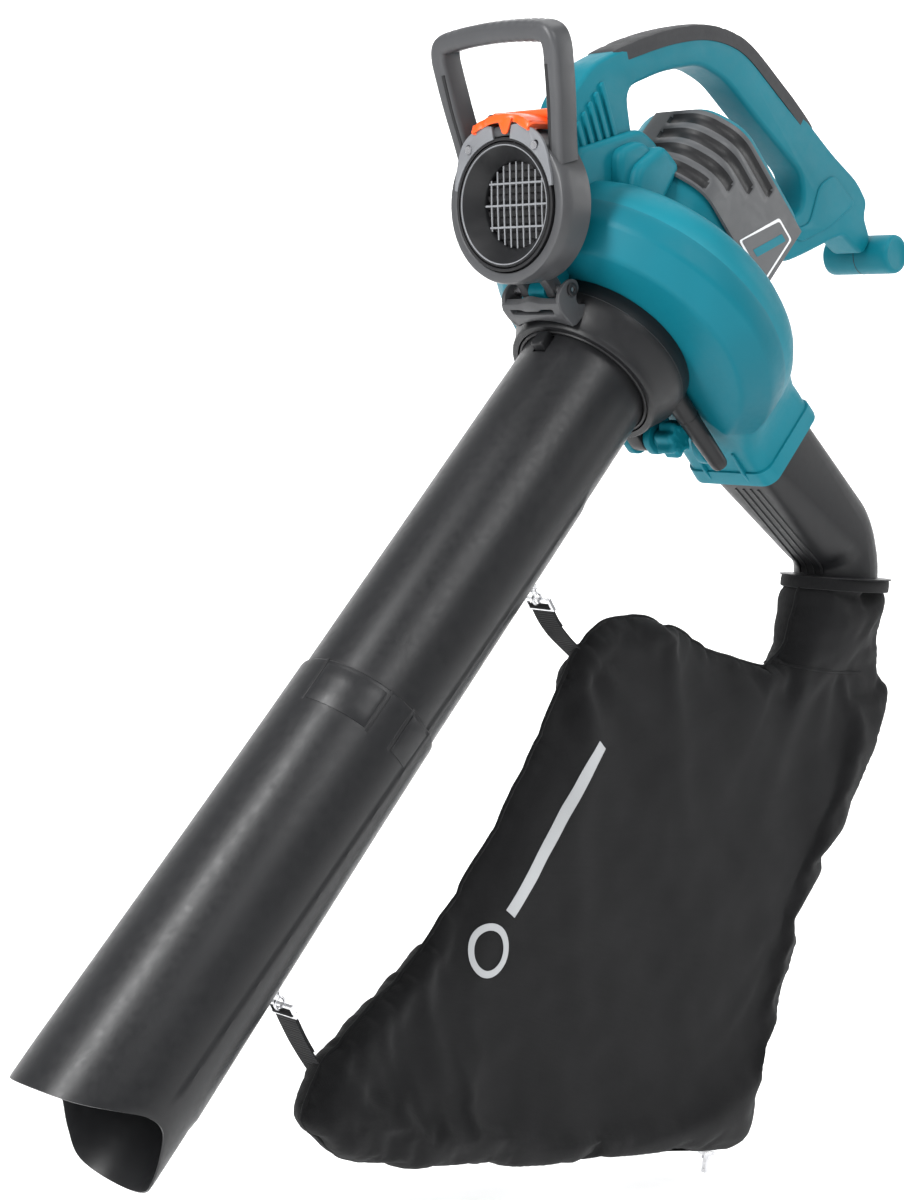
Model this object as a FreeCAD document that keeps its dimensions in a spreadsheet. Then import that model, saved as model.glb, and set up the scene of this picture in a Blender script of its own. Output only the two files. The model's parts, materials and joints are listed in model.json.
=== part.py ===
"""Electric leaf blower and vacuum, set up for vacuuming, with its collecting bag.

Frame: +X points where the suction tube points along the ground, +Y to the tool's left and
+Z up, in the position of use. The origin is the middle of the main grip.

Most sub-parts are drawn in the tool frame: x runs along the suction tube's axis towards the
mouth, y to the tool's left, z square to both, and its origin is the centre of the hood's rim.
The tool frame is then pitched down and moved so that the grip lies at the origin. Millimetres.
"""
import FreeCAD, Part
import math
import os
import re
import Sketcher
from FreeCAD import Placement, Rotation, Vector

DOC = FreeCAD.newDocument("LeafBlower")
SHEET = DOC.addObject("Spreadsheet::Sheet", "Sizes")
PARTS_DIR = "parts"
SUBPARTS = []

# ---------------------------------------------------------------- driving dimensions
DIMENSIONS = [
    # stance
    ("pitch_down", 54), ("grip_x", -293), ("grip_z", 140),
    # suction tube and hood
    ("tube_radius", 62), ("tube_wall", 2.2), ("upper_tube_end", 395), ("upper_tube_start", -22),
    ("joint_x", 381), ("lower_radius", 64.5), ("mouth_radius", 69), ("mouth_x", 812),
    ("lower_wall", 2.2), ("tube_gap", 0.1),
    ("hood_rim_radius", 72), ("hood_base_radius", 85), ("hood_front", 2),
    ("gasket_width", 4),
    ("lug_x_upper", 175), ("lug_x_lower", 609), ("lug_reach", 16), ("lug_thick", 4),
    ("lug_hole_radius", 4),
    # fan housing
    ("face_x", -47), ("split_x", -90), ("back_x", -130), ("shell_wall", 3),
    ("inlet_radius", 60), ("spiral_radius", 118), ("spiral_step", 8),
    ("outlet_width", 96), ("outlet_y", 25), ("outlet_bottom", -204), ("outlet_x", -112),
    # discharge pipe
    ("pipe_radius", 42.5), ("pipe_wall", 2.5), ("pipe_run", 155), ("pipe_bend_radius", 58),
    ("pipe_bend_angle", 56.8), ("pipe_tilt", 7.2), ("pipe_start_x", -112.3), ("pipe_start_z", -189.6),
    ("flange_radius", 57), ("flange_thick", 1.5),
    # motor
    ("cover_half_width", 66), ("cover_top", 88), ("cover_bottom", -92), ("cover_back", -279),
    ("cover_chamfer", 30), ("cover_wall", 2.5),
    ("shaft_radius", 5), ("bearing_clearance", 0.03), ("bearing_radius", 14),
    ("bearing_width", 9), ("front_bearing_x", -140), ("rear_bearing_x", -268),
    ("armature_radius", 26), ("armature_length", 50), ("armature_x", -215),
    ("armature_slots", 12), ("commutator_radius", 14), ("commutator_length", 18),
    ("commutator_x", -246), ("air_gap", 0.8), ("stator_radius", 45),
    ("impeller_radius", 96), ("impeller_x", -112), ("impeller_blades", 9), ("blade_height", 42),
    ("blade_thick", 3), ("impeller_hub_radius", 14), ("nut_radius", 9), ("nut_height", 6),
    ("cooling_fan_radius", 40), ("cooling_fan_x", -155),
    # main handle
    ("handle_half_width", 18), ("handle_wall", 3), ("overmould_thick", 4),
    ("overmould_half_width", 15), ("foot_radius", 20), ("foot_half_length", 40), ("foot_waist", 19.5),
    ("foot_x", -395), ("foot_z", -216), ("dial_radius", 17), ("dial_half_width", 6),
    ("dial_x", -180), ("dial_z", 189), ("dial_axle_radius", 3),
    ("mains_inlet_radius", 15), ("mains_inlet_x", -420), ("mains_inlet_z", -148),
    # intake cover with the front handle, in its own frame: x out of the ring, z up the handle
    ("cover_lean", 43), ("cover_x", -38), ("cover_z", 181),
    ("ring_radius", 69), ("ring_inner_radius", 58), ("ring_depth", 36), ("ring_front", 2),
    ("bow_depth", 26), ("bow_lean", 12), ("bow_root_z", 35),
    ("funnel_rim_radius", 55), ("funnel_throat_radius", 38), ("funnel_depth", 13),
    ("grille_bar", 2), ("grille_columns", 9), ("grille_rows", 3),
    ("lever_inner_radius", 70), ("lever_outer_radius", 79), ("lever_half_angle", 28),
    ("lever_front", 8), ("lever_pin_x", -26), ("lever_pin_z", 77), ("lever_pin_radius", 2.5),
    ("hinge_x", -19), ("hinge_z", 97), ("hinge_radius", 4), ("hinge_half_length", 38),
    ("running_clearance", 0.05),
    # clamp knob under the hood
    ("knob_x", -25), ("knob_z", -99.5), ("knob_radius", 20), ("knob_lobes", 7),
    ("knob_inner_y", 25), ("knob_outer_y", 43), ("bolt_radius", 4),
    # tube lock button
    ("button_x", 12), ("button_half_width", 7),
    # collecting bag
    ("bag_y", 18), ("bag_half_thick", 42), ("strap_width", 25), ("strap_thick", 2),
    ("bag_wall", 2.5), ("link_wire", 3), ("link_reach", 10),
    ("hook_wire_radius", 1.8), ("hook_loop_radius", 6), ("eye_x", 24),
    ("screw_radius", 2.5), ("screw_head_radius", 4.5),
]


def fill_sheet():
    """Write every driving dimension as a plain number with an alias."""
    for row, (alias, value) in enumerate(DIMENSIONS, start=1):
        SHEET.set("A%d" % row, alias)
        SHEET.set("B%d" % row, str(value))
        SHEET.setAlias("B%d" % row, alias)
    DOC.recompute()


ALIASES = {alias for alias, _ in DIMENSIONS}
fill_sheet()


def bound(expression):
    """The expression with each alias written as a cell of the sheet."""
    return re.sub(r"[a-z_]+[a-z0-9_]*",
                  lambda m: "Sizes." + m.group(0) if m.group(0) in ALIASES else m.group(0),
                  str(expression))


def num(expression):
    """The value of a number or of an expression of the sheet's aliases."""
    if isinstance(expression, (int, float)):
        return float(expression)
    return float(SHEET.evalExpression(bound(expression)))


# ---------------------------------------------------------------- placing
def tool_placement():
    """The tool frame in the row frame: pitched down, with the grip's middle at the origin."""
    pitch = Rotation(Vector(0, 1, 0), num("pitch_down"))
    grip = pitch.multVec(Vector(num("grip_x"), 0, num("grip_z")))
    return Placement(grip.negative(), pitch)


TOOL = tool_placement()
LEVEL = Placement(TOOL.Base, Rotation())


def seat(piece, x=0, y=0, z=0, turn=None, frame=TOOL):
    """Place a sub-part at a point of the tool frame, or of the level frame at the hood's rim."""
    piece.Placement = frame.multiply(Placement(Vector(num(x), num(y), num(z)),
                                               turn or Rotation()))


COVER_TURN = Rotation(Vector(0, 1, 0), -num("cover_lean"))


def seat_on_cover(piece):
    """Place a sub-part drawn in the intake cover's frame."""
    seat(piece, "cover_x", 0, "cover_z", COVER_TURN)


# ---------------------------------------------------------------- building
def body(label):
    """A new body that is one sub-part."""
    piece = DOC.addObject("PartDesign::Body", "Body")
    piece.Label = label
    SUBPARTS.append(piece)
    return piece


def keep(piece, label):
    """Name a finished Part object as one sub-part."""
    piece.Label = label
    SUBPARTS.append(piece)
    return piece


def origin_plane(piece, role):
    return [item for item in piece.Origin.OriginFeatures if item.Role == role][0]


def pin_down(sketch, geometry, vertex, x, y):
    """Fix a vertex of a sketch at x, y, which are numbers or sheet expressions."""
    for kind, value in (("DistanceX", x), ("DistanceY", y)):
        index = sketch.addConstraint(
            Sketcher.Constraint(kind, -1, 1, geometry, vertex, num(value)))
        if isinstance(value, str):
            sketch.setExpression("Constraints[%d]" % index, bound(value))


def add_circle(sketch, x, y, radius):
    centre = Vector(num(x), num(y), 0)
    circle = sketch.addGeometry(Part.Circle(centre, Vector(0, 0, 1), num(radius)), False)
    pin_down(sketch, circle, 3, x, y)
    index = sketch.addConstraint(Sketcher.Constraint("Radius", circle, num(radius)))
    if isinstance(radius, str):
        sketch.setExpression("Constraints[%d]" % index, bound(radius))


def add_polygon(sketch, points):
    first = sketch.GeometryCount
    count = len(points)
    corners = [Vector(num(x), num(y), 0) for x, y in points]
    for i in range(count):
        sketch.addGeometry(Part.LineSegment(corners[i], corners[(i + 1) % count]), False)
    for i in range(count):
        sketch.addConstraint(
            Sketcher.Constraint("Coincident", first + i, 2, first + (i + 1) % count, 1))
    for i, (x, y) in enumerate(points):
        pin_down(sketch, first + i, 1, x, y)


def add_sketch(piece, role, loops, offset=0):
    """A sketch on an origin plane; a loop is a list of points or a ("circle", x, y, r)."""
    sketch = piece.newObject("Sketcher::SketchObject", "Sketch")
    sketch.AttachmentSupport = [(origin_plane(piece, role), "")]
    sketch.MapMode = "FlatFace"
    if offset != 0:
        sketch.setExpression("AttachmentOffset.Base.z", bound(offset))
    for loop in loops:
        if loop[0] == "circle":
            add_circle(sketch, *loop[1:])
        else:
            add_polygon(sketch, loop)
    return sketch


def turned(label, profile):
    """A body of revolution about its own x axis from (x, radius) points."""
    piece = body(label)
    add_turning(piece, profile)
    return piece


def add_turning(piece, profile, kind="PartDesign::Revolution"):
    sketch = add_sketch(piece, "XY_Plane", [profile])
    turning = piece.newObject(kind, "Turning")
    turning.Profile = sketch
    turning.ReferenceAxis = (sketch, ["H_Axis"])
    turning.Angle = 360
    return turning


def add_slab(piece, role, loops, low, high, kind="PartDesign::Pad"):
    """Pad or pocket the loops between low and high along the plane's axis (X, Y or Z)."""
    low_text, high_text = "(%s)" % low, "(%s)" % high
    offset = "-%s" % high_text if role == "XZ_Plane" else low_text
    sketch = add_sketch(piece, role, loops, offset)
    slab = piece.newObject(kind, "Slab")
    slab.Profile = sketch
    slab.setExpression("Length", bound("%s - %s" % (high_text, low_text)))
    slab.Reversed = kind == "PartDesign::Pocket"
    return slab


def plate(label, role, loops, low, high):
    piece = body(label)
    add_slab(piece, role, loops, low, high)
    return piece


def pocket(piece, role, loops, low, high):
    """Cut the loops out of a body, and make sure that the cut removed something."""
    DOC.recompute()
    before = piece.Shape.Volume
    cut = add_slab(piece, role, loops, low, high, "PartDesign::Pocket")
    DOC.recompute()
    if not piece.Shape.Volume < before - 1e-3:
        raise RuntimeError("a pocket in %s cut nothing" % piece.Label)
    return cut


def hollow(piece, wall, is_open):
    """Shell the body inwards and leave open the faces that is_open picks."""
    DOC.recompute()
    base = piece.Tip
    faces = ["Face%d" % (i + 1) for i, face in enumerate(base.Shape.Faces) if is_open(face)]
    shell = piece.newObject("PartDesign::Thickness", "Shell")
    shell.Base = (base, faces)
    shell.setExpression("Value", bound(wall))
    shell.Reversed = True
    shell.Join = 1
    return shell


def faces_along(axis, value):
    """A test for flat faces whose centre lies at one value of an axis."""
    def test(face):
        centre = getattr(face.CenterOfMass, axis)
        flat = face.Surface.TypeId == "Part::GeomPlane"
        box = face.BoundBox
        span = getattr(box, axis.upper() + "Length")
        return flat and span < 1e-3 and abs(centre - value) < 1e-3
    return test


def inset(points, distance):
    """The corners of a polygon moved inwards, each along its mitre."""
    points = [(num(x), num(y)) for x, y in points]
    area = sum(a[0] * b[1] - b[0] * a[1] for a, b in zip(points, points[1:] + points[:1]))
    side = 1 if area > 0 else -1
    moved = []
    for before, here, after in zip(points[-1:] + points[:-1], points, points[1:] + points[:1]):
        first = Vector(here[0] - before[0], here[1] - before[1], 0).normalize()
        second = Vector(after[0] - here[0], after[1] - here[1], 0).normalize()
        normals = [Vector(-edge.y * side, edge.x * side, 0) for edge in (first, second)]
        mitre = normals[0] + normals[1]
        scale = distance / (1 + normals[0].dot(normals[1]))
        moved.append((here[0] + mitre.x * scale, here[1] + mitre.y * scale))
    return moved


def polar(piece, feature, axis_role, count):
    """Repeat a feature about an origin axis."""
    pattern = piece.newObject("PartDesign::PolarPattern", "Pattern")
    pattern.Originals = [feature]
    pattern.Axis = (origin_plane(piece, axis_role), [""])
    pattern.Angle = 360
    pattern.setExpression("Occurrences", bound(count))
    piece.Tip = pattern
    return pattern


def cylinder(radius, length, x=0, y=0, z=0, axis="z"):
    """A cylinder from the point x, y, z along an axis, with bound radius and length."""
    piece = DOC.addObject("Part::Cylinder", "Cylinder")
    piece.setExpression("Radius", bound(radius))
    piece.setExpression("Height", bound(length))
    turns = {"x": Rotation(Vector(0, 1, 0), 90), "y": Rotation(Vector(1, 0, 0), -90),
             "z": Rotation()}
    piece.Placement = Placement(Vector(num(x), num(y), num(z)), turns[axis])
    return piece


def block(size_x, size_y, size_z, x, y, z):
    """A box centred on the point x, y, z."""
    piece = DOC.addObject("Part::Box", "Block")
    piece.setExpression("Length", bound(size_x))
    piece.setExpression("Width", bound(size_y))
    piece.setExpression("Height", bound(size_z))
    piece.Placement = Placement(Vector(num(x) - num(size_x) / 2, num(y) - num(size_y) / 2,
                                       num(z) - num(size_z) / 2), Rotation())
    return piece


def fused(pieces):
    joined = DOC.addObject("Part::MultiFuse", "Fusion")
    joined.Shapes = pieces
    return joined


def cut(base, tool):
    result = DOC.addObject("Part::Cut", "Cut")
    result.Base = base
    result.Tool = tool
    return result


def group(pieces):
    """Separate solids that share one node."""
    together = DOC.addObject("Part::Compound", "Group")
    together.Links = pieces
    return together


def sleeve(outer, inner, length, x=0, y=0, z=0, axis="z"):
    """A plain bush or washer."""
    return cut(cylinder(outer, length, x, y, z, axis), cylinder(inner, length, x, y, z, axis))


def shaped(label, shape):
    """A sub-part whose shape Part's own functions make."""
    piece = DOC.addObject("Part::Feature", "Feature")
    piece.Shape = shape
    return keep(piece, label)


# ---------------------------------------------------------------- fan housing
def spiral_wire(x, inset):
    """The volute's outline at x, inset from its outside, square to the tool's x axis.

    Three quarter arcs about the corners of a small square grow round the wheel, and the last
    one runs on to the outlet's neck.
    """
    step = num("spiral_step")
    first = num("spiral_radius") - inset
    left = num("outlet_y") + num("outlet_width") / 2 - inset
    right = num("outlet_y") - num("outlet_width") / 2 + inset
    bottom = num("outlet_bottom")
    last = first + 4 * step
    neck_angle = math.radians(-58)

    def at(centre_y, centre_z, radius, angle):
        return Vector(x, centre_y + radius * math.cos(angle), centre_z + radius * math.sin(angle))

    tongue_angle = -math.acos((right + step) / first)
    tongue = at(-step, step, first, tongue_angle)
    start = at(-step, step, first, -math.pi)
    arcs = [Part.Arc(tongue, at(-step, step, first, (tongue_angle - math.pi) / 2), start),
            Part.Arc(start, at(step, step, first + 2 * step, 0.75 * math.pi),
                     at(step, step, first + 2 * step, math.pi / 2)),
            Part.Arc(at(step, -step, last, math.pi / 2), at(step, -step, last, 0),
                     at(step, -step, last, neck_angle))]
    neck = at(step, -step, last, neck_angle)
    corners = [neck, Vector(x, left, -160), Vector(x, left, bottom), Vector(x, right, bottom),
               tongue]
    edges = [arc.toShape() for arc in arcs]
    edges += [Part.LineSegment(a, b).toShape() for a, b in zip(corners, corners[1:])]
    return Part.Wire(Part.__sortEdges__(edges))


def spiral_solid(x_low, x_high, inset):
    face = Part.Face(spiral_wire(x_low, inset))
    return face.extrude(Vector(x_high - x_low, 0, 0))


def outlet_box(x_low, x_high, inset, z_low, z_high):
    half = num("outlet_width") / 2 - inset
    return Part.makeBox(x_high - x_low, 2 * half, z_high - z_low,
                        Vector(x_low, num("outlet_y") - half, z_low))


def bar_y(radius, y_low, y_high, x, z):
    """A cylinder across the tool."""
    return Part.makeCylinder(radius, y_high - y_low, Vector(x, y_low, z), Vector(0, 1, 0))


def fan_housing():
    """The two halves of the volute, split square to the fan's axis."""
    wall = num("shell_wall")
    face_x, split_x, back_x = num("face_x"), num("split_x"), num("back_x")
    outlet_front = num("outlet_x") + num("outlet_width") / 2
    outlet_back = num("outlet_x") - num("outlet_width") / 2
    bottom, inside_top = num("outlet_bottom"), -125
    front = spiral_solid(split_x, face_x, 0)
    front = front.cut(outlet_box(outlet_front, face_x, -1, bottom - 1, -150))
    cavity = spiral_solid(split_x - 1, face_x - wall, wall)
    cavity = cavity.cut(outlet_box(outlet_front - wall, face_x, -1, bottom - 1, -150 + wall))
    cavity = cavity.fuse(outlet_box(outlet_back + wall, outlet_front - wall, wall,
                                    bottom - 1, inside_top))
    eye = Part.makeCylinder(num("inlet_radius"), 4 * wall, Vector(face_x - 2 * wall, 0, 0),
                            Vector(1, 0, 0))
    lugs = hood_lugs(face_x).fuse(hinge_lug(face_x))
    shaped("fan_housing_front", front.fuse(lugs).cut(cavity).cut(eye).removeSplitter())
    rear = spiral_solid(back_x, split_x, 0)
    rear = rear.fuse(outlet_box(outlet_back, split_x, 0, bottom, inside_top - 10))
    rear_cavity = spiral_solid(back_x + wall, split_x + 1, wall)
    rear_cavity = rear_cavity.fuse(outlet_box(outlet_back + wall, split_x + 1, wall,
                                              bottom - 1, inside_top - 15))
    hole = Part.makeCylinder(num("stator_radius") + 15, 4 * wall,
                             Vector(back_x - wall, 0, 0), Vector(1, 0, 0))
    shaped("fan_housing_rear", rear.cut(rear_cavity).cut(hole).removeSplitter())
    for piece in SUBPARTS[-2:]:
        seat(piece)


def hood_lugs(face_x):
    """Two lugs below the inlet that take the clamp bolt."""
    x, z = num("knob_x"), num("knob_z")
    bore = bar_y(num("bolt_radius") + num("running_clearance"), -30, 30, x, z)
    ears = [Part.makeBox(x + 9 - face_x, 8, 22, Vector(face_x, y_low, z - 11)).cut(bore)
            for y_low in (-16.5, 8.5)]
    return ears[0].fuse(ears[1])


def hinge_lug(face_x):
    """The lug above the inlet that carries the intake cover's pin."""
    x, z = num("hinge_x"), num("hinge_z")
    boss = bar_y(9, -10, 10, x, z)
    web = Part.makeBox(x - face_x, 20, 16, Vector(face_x, -10, z - 9))
    bore = bar_y(num("hinge_radius"), -11, 11, x, z)
    return boss.fuse(web).cut(bore)


# ---------------------------------------------------------------- suction hood and tubes
def suction_hood():
    """The bulged hood between the fan inlet and the tube, with its bottom lug."""
    hood = turned("suction_hood", [
        ("hood_front", "tube_radius + gasket_width"),
        ("hood_front", "hood_rim_radius"),
        ("hood_front - 12", "hood_rim_radius + 4"),
        ("hood_front - 30", "hood_base_radius - 3"),
        ("face_x", "hood_base_radius"),
        ("face_x", "inlet_radius"),
        ("upper_tube_start", "inlet_radius"),
        ("upper_tube_start", "tube_radius + tube_gap"),
        ("hood_front - 8", "tube_radius + tube_gap"),
        ("hood_front - 8", "tube_radius + gasket_width")])
    add_slab(hood, "XZ_Plane", [[("knob_x - 9", "knob_z - 9"), ("knob_x + 9", "knob_z - 9"),
                                 ("knob_x + 9", -74), ("knob_x - 9", -74)]], -8, 8)
    pocket(hood, "XZ_Plane", [("circle", "knob_x", "knob_z", "bolt_radius + running_clearance")],
           -9, 9)
    seat(hood)
    gasket = turned("hood_gasket", [
        ("hood_front - 8", "tube_radius + tube_gap"), ("hood_front", "tube_radius + tube_gap"),
        ("hood_front", "tube_radius + gasket_width"),
        ("hood_front - 8", "tube_radius + gasket_width")])
    seat(gasket)


def hood_arm():
    """A tapered horn that stands off the hood's side and runs down past the outlet."""
    arm = DOC.addObject("Part::Cone", "Cone")
    arm.Radius1 = 11
    arm.Radius2 = 8
    arm.Height = 96
    down = Rotation(Vector(0, 0, 1), Vector(0, 0.03, -1))
    arm.Placement = Placement(Vector(-35.4, 55, -52), down)
    inlet_side = cylinder("hood_base_radius", 60, "face_x", 0, 0, "x")
    arm = keep(cut(arm, inlet_side), "hood_arm")
    seat(arm)


def hinge_bracket():
    """The bracket on the hood that takes the intake cover's pin, with a window in its front."""
    bracket = plate("hinge_bracket", "XZ_Plane",
                    [[(-7, 60), (-2, 60), (2, 84), (2, 96), (-1, 103), (-5, 103), (-2, 95),
                      (-2, 85)]], -35, 35)
    ear = [(-20, 60), (-2, 60), (2, 84), (2, 96), (-4, 106), ("hinge_x", 106),
           ("hinge_x - 9", 100), ("hinge_x - 9", 92), (-24, 82)]
    for low, high in ((31, 35), (-35, -31)):
        add_slab(bracket, "XZ_Plane", [ear], low, high)
        pocket(bracket, "XZ_Plane", [("circle", "hinge_x", "hinge_z", "hinge_radius")],
               low - 1, high + 1)
    pocket(bracket, "YZ_Plane", [[(-28, 88), (28, 88), (28, 95), (-28, 95)]], -6, 6)
    pocket(bracket, "YZ_Plane", [("circle", 0, 0, "hood_rim_radius + 8")], -30, 10)
    seat(bracket)
    pin = keep(cylinder("hinge_radius", "2 * hinge_half_length - 4", "hinge_x",
                        "2 - hinge_half_length", "hinge_z", "y"), "hinge_pin")
    seat_group(pin)
    heads = [cylinder("screw_head_radius + 1.5", 2.5, "hinge_x", side, "hinge_z", "y")
             for side in ("hinge_half_length - 2", "-hinge_half_length - 0.5")]
    seat_group(keep(group(heads), "bracket_screws"))


def seat_group(piece):
    """Place a primitive that is already positioned in the tool frame."""
    piece.Placement = TOOL.multiply(piece.Placement)


def tube_lug(tube, x, z_root):
    """A flat eye under a tube for one of the bag's hooks."""
    tip = "%s - lug_reach" % z_root
    add_slab(tube, "XZ_Plane", [[("%s - 9" % x, "%s + 1.5" % z_root),
                                 ("%s + 9" % x, "%s + 1.5" % z_root),
                                 ("%s + 7" % x, tip), ("%s - 7" % x, tip)]],
             "-lug_thick / 2", "lug_thick / 2")
    pocket(tube, "XZ_Plane", [("circle", x, "%s - 9" % z_root, "lug_hole_radius")], -4, 4)


def upper_tube():
    tube = turned("upper_tube", [
        ("upper_tube_start", "tube_radius - tube_wall"), ("upper_tube_end", "tube_radius - tube_wall"),
        ("upper_tube_end", "tube_radius"), ("upper_tube_start", "tube_radius")])
    tube_lug(tube, "lug_x_upper", "-tube_radius")
    half = "button_half_width + 0.5"
    pocket(tube, "XY_Plane", [[("button_x - 9", "-(%s)" % half), ("button_x + 10.5", "-(%s)" % half),
                               ("button_x + 10.5", half), ("button_x - 9", half)]], 40, 70)
    seat(tube)


def lower_tube():
    """The flared nozzle tube with its scooped mouth."""
    tube = turned("lower_tube", [
        ("joint_x", "tube_radius + tube_gap"), ("upper_tube_end + 1", "tube_radius + tube_gap"),
        ("upper_tube_end + 3", "lower_radius - lower_wall"),
        ("mouth_x", "mouth_radius - lower_wall"), ("mouth_x", "mouth_radius"),
        ("joint_x", "lower_radius")])
    tube_lug(tube, "lug_x_lower", "-lower_radius - 2")
    mouth = [("mouth_x - 28", 72), ("mouth_x - 34", 40), ("mouth_x - 48", 20),
             ("mouth_x - 50", 0), ("mouth_x - 40", -25), ("mouth_x - 12", -45),
             ("mouth_x - 2", -72), ("mouth_x + 5", -72), ("mouth_x + 5", 72)]
    pocket(tube, "XZ_Plane", [mouth], -80, 80)
    seat(tube)


def tube_lock():
    """The button that locks the tube in the hood, and its leaf spring."""
    half = "button_half_width"
    button = plate("tube_button", "XY_Plane",
                   [[("button_x - 8", "-" + half), ("button_x + 9.5", "-" + half),
                     ("button_x + 9.5", half), ("button_x - 8", half)]],
                   "tube_radius - 6", "tube_radius + 8")
    seat(button)
    spring = plate("button_spring", "XZ_Plane",
                   [[(-14, 59), (-14, 58), (0, 50), ("button_x + 8", 50),
                     ("button_x + 8", 51), (0.5, 51), (-12, 58.6)]], -4, 4)
    seat(spring)


# ---------------------------------------------------------------- clamp knob
def clamp_knob():
    """The lobed knob, its bolt and the captive nut."""
    knob = plate("star_knob", "XZ_Plane", [("circle", 0, 0, "knob_radius - 3")],
                 "knob_inner_y", "knob_outer_y")
    lobe = add_slab(knob, "XZ_Plane", [("circle", "knob_radius - 5", 0, 5)],
                    "knob_inner_y", "knob_outer_y")
    polar(knob, lobe, "Y_Axis", "knob_lobes")
    pocket(knob, "XZ_Plane", [("circle", 0, 0, "bolt_radius")], "knob_inner_y - 1", "knob_outer_y - 5")
    seat(knob, "knob_x", 0, "knob_z")
    bolt = keep(cylinder("bolt_radius", "knob_outer_y + 17", "knob_x", -22, "knob_z", "y"),
                "knob_bolt")
    seat_group(bolt)
    nut = plate("clamp_nut", "XZ_Plane",
                [hexagon(7.5), ("circle", 0, 0, "bolt_radius + running_clearance")], -22, -16.6)
    seat(nut, "knob_x", 0, "knob_z")


def hexagon(radius):
    """Corners of a hexagon about the sketch's origin."""
    return [("%.4f * (%s)" % (math.cos(i * math.pi / 3), radius),
             "%.4f * (%s)" % (math.sin(i * math.pi / 3), radius)) for i in range(6)]


# ---------------------------------------------------------------- motor and fan
def motor():
    shaft_bore = "shaft_radius"
    shaft = turned("motor_shaft", [(-272, 0), (-62, 0), (-62, "shaft_radius"),
                                   (-272, "shaft_radius")])
    seat(shaft)
    impeller = turned("impeller", [
        ("impeller_x", shaft_bore), ("impeller_x", "impeller_radius"),
        ("impeller_x + 3", "impeller_radius"), ("impeller_x + 3", "impeller_hub_radius + 12"),
        ("impeller_x + 22", "impeller_hub_radius"), ("impeller_x + 42", "impeller_hub_radius"),
        ("impeller_x + 42", shaft_bore)])
    blade = add_slab(impeller, "XY_Plane",
                     [[("impeller_x + 1", "impeller_hub_radius + 4"),
                       ("impeller_x + 1", "impeller_radius"),
                       ("impeller_x + blade_height * 0.8", "impeller_radius"),
                       ("impeller_x + blade_height + 3", "impeller_hub_radius + 34"),
                       ("impeller_x + blade_height * 0.4", "impeller_hub_radius + 4")]],
                     "-blade_thick / 2", "blade_thick / 2")
    polar(impeller, blade, "X_Axis", "impeller_blades")
    seat(impeller)
    nut = plate("impeller_nut", "YZ_Plane", [hexagon("nut_radius"), ("circle", 0, 0, shaft_bore)],
                "impeller_x + 42", "impeller_x + 42 + nut_height")
    seat(nut)
    fan = turned("cooling_fan", [
        ("cooling_fan_x", shaft_bore), ("cooling_fan_x", "cooling_fan_radius"),
        ("cooling_fan_x + 2", "cooling_fan_radius"), ("cooling_fan_x + 2", 14),
        ("cooling_fan_x + 10", 12), ("cooling_fan_x + 10", shaft_bore)])
    vane = add_slab(fan, "XY_Plane", [[("cooling_fan_x - 8", 16), ("cooling_fan_x + 1", 16),
                                       ("cooling_fan_x + 1", "cooling_fan_radius"),
                                       ("cooling_fan_x - 8", "cooling_fan_radius")]], -1, 1)
    polar(fan, vane, "X_Axis", 11)
    seat(fan)
    armature = turned("armature", [
        ("armature_x", shaft_bore), ("armature_x + armature_length", shaft_bore),
        ("armature_x + armature_length", "armature_radius"), ("armature_x", "armature_radius")])
    slot = pocket(armature, "YZ_Plane",
                  [[("armature_radius - 9", -1.2), ("armature_radius + 1", -1.2),
                    ("armature_radius + 1", 1.2), ("armature_radius - 9", 1.2)]],
                  "armature_x - 1", "armature_x + armature_length + 1")
    polar(armature, slot, "X_Axis", "armature_slots")
    seat(armature)
    commutator = turned("commutator", [
        ("commutator_x", shaft_bore), ("commutator_x + commutator_length + 6", shaft_bore),
        ("commutator_x + commutator_length + 6", "commutator_radius + 3"),
        ("commutator_x + commutator_length", "commutator_radius + 3"),
        ("commutator_x + commutator_length", "commutator_radius"),
        ("commutator_x", "commutator_radius")])
    groove = pocket(commutator, "YZ_Plane",
                    [[("commutator_radius - 3", -0.4), ("commutator_radius + 4", -0.4),
                      ("commutator_radius + 4", 0.4), ("commutator_radius - 3", 0.4)]],
                    "commutator_x - 1", "commutator_x + commutator_length + 7")
    polar(commutator, groove, "X_Axis", "armature_slots")
    seat(commutator)


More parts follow.
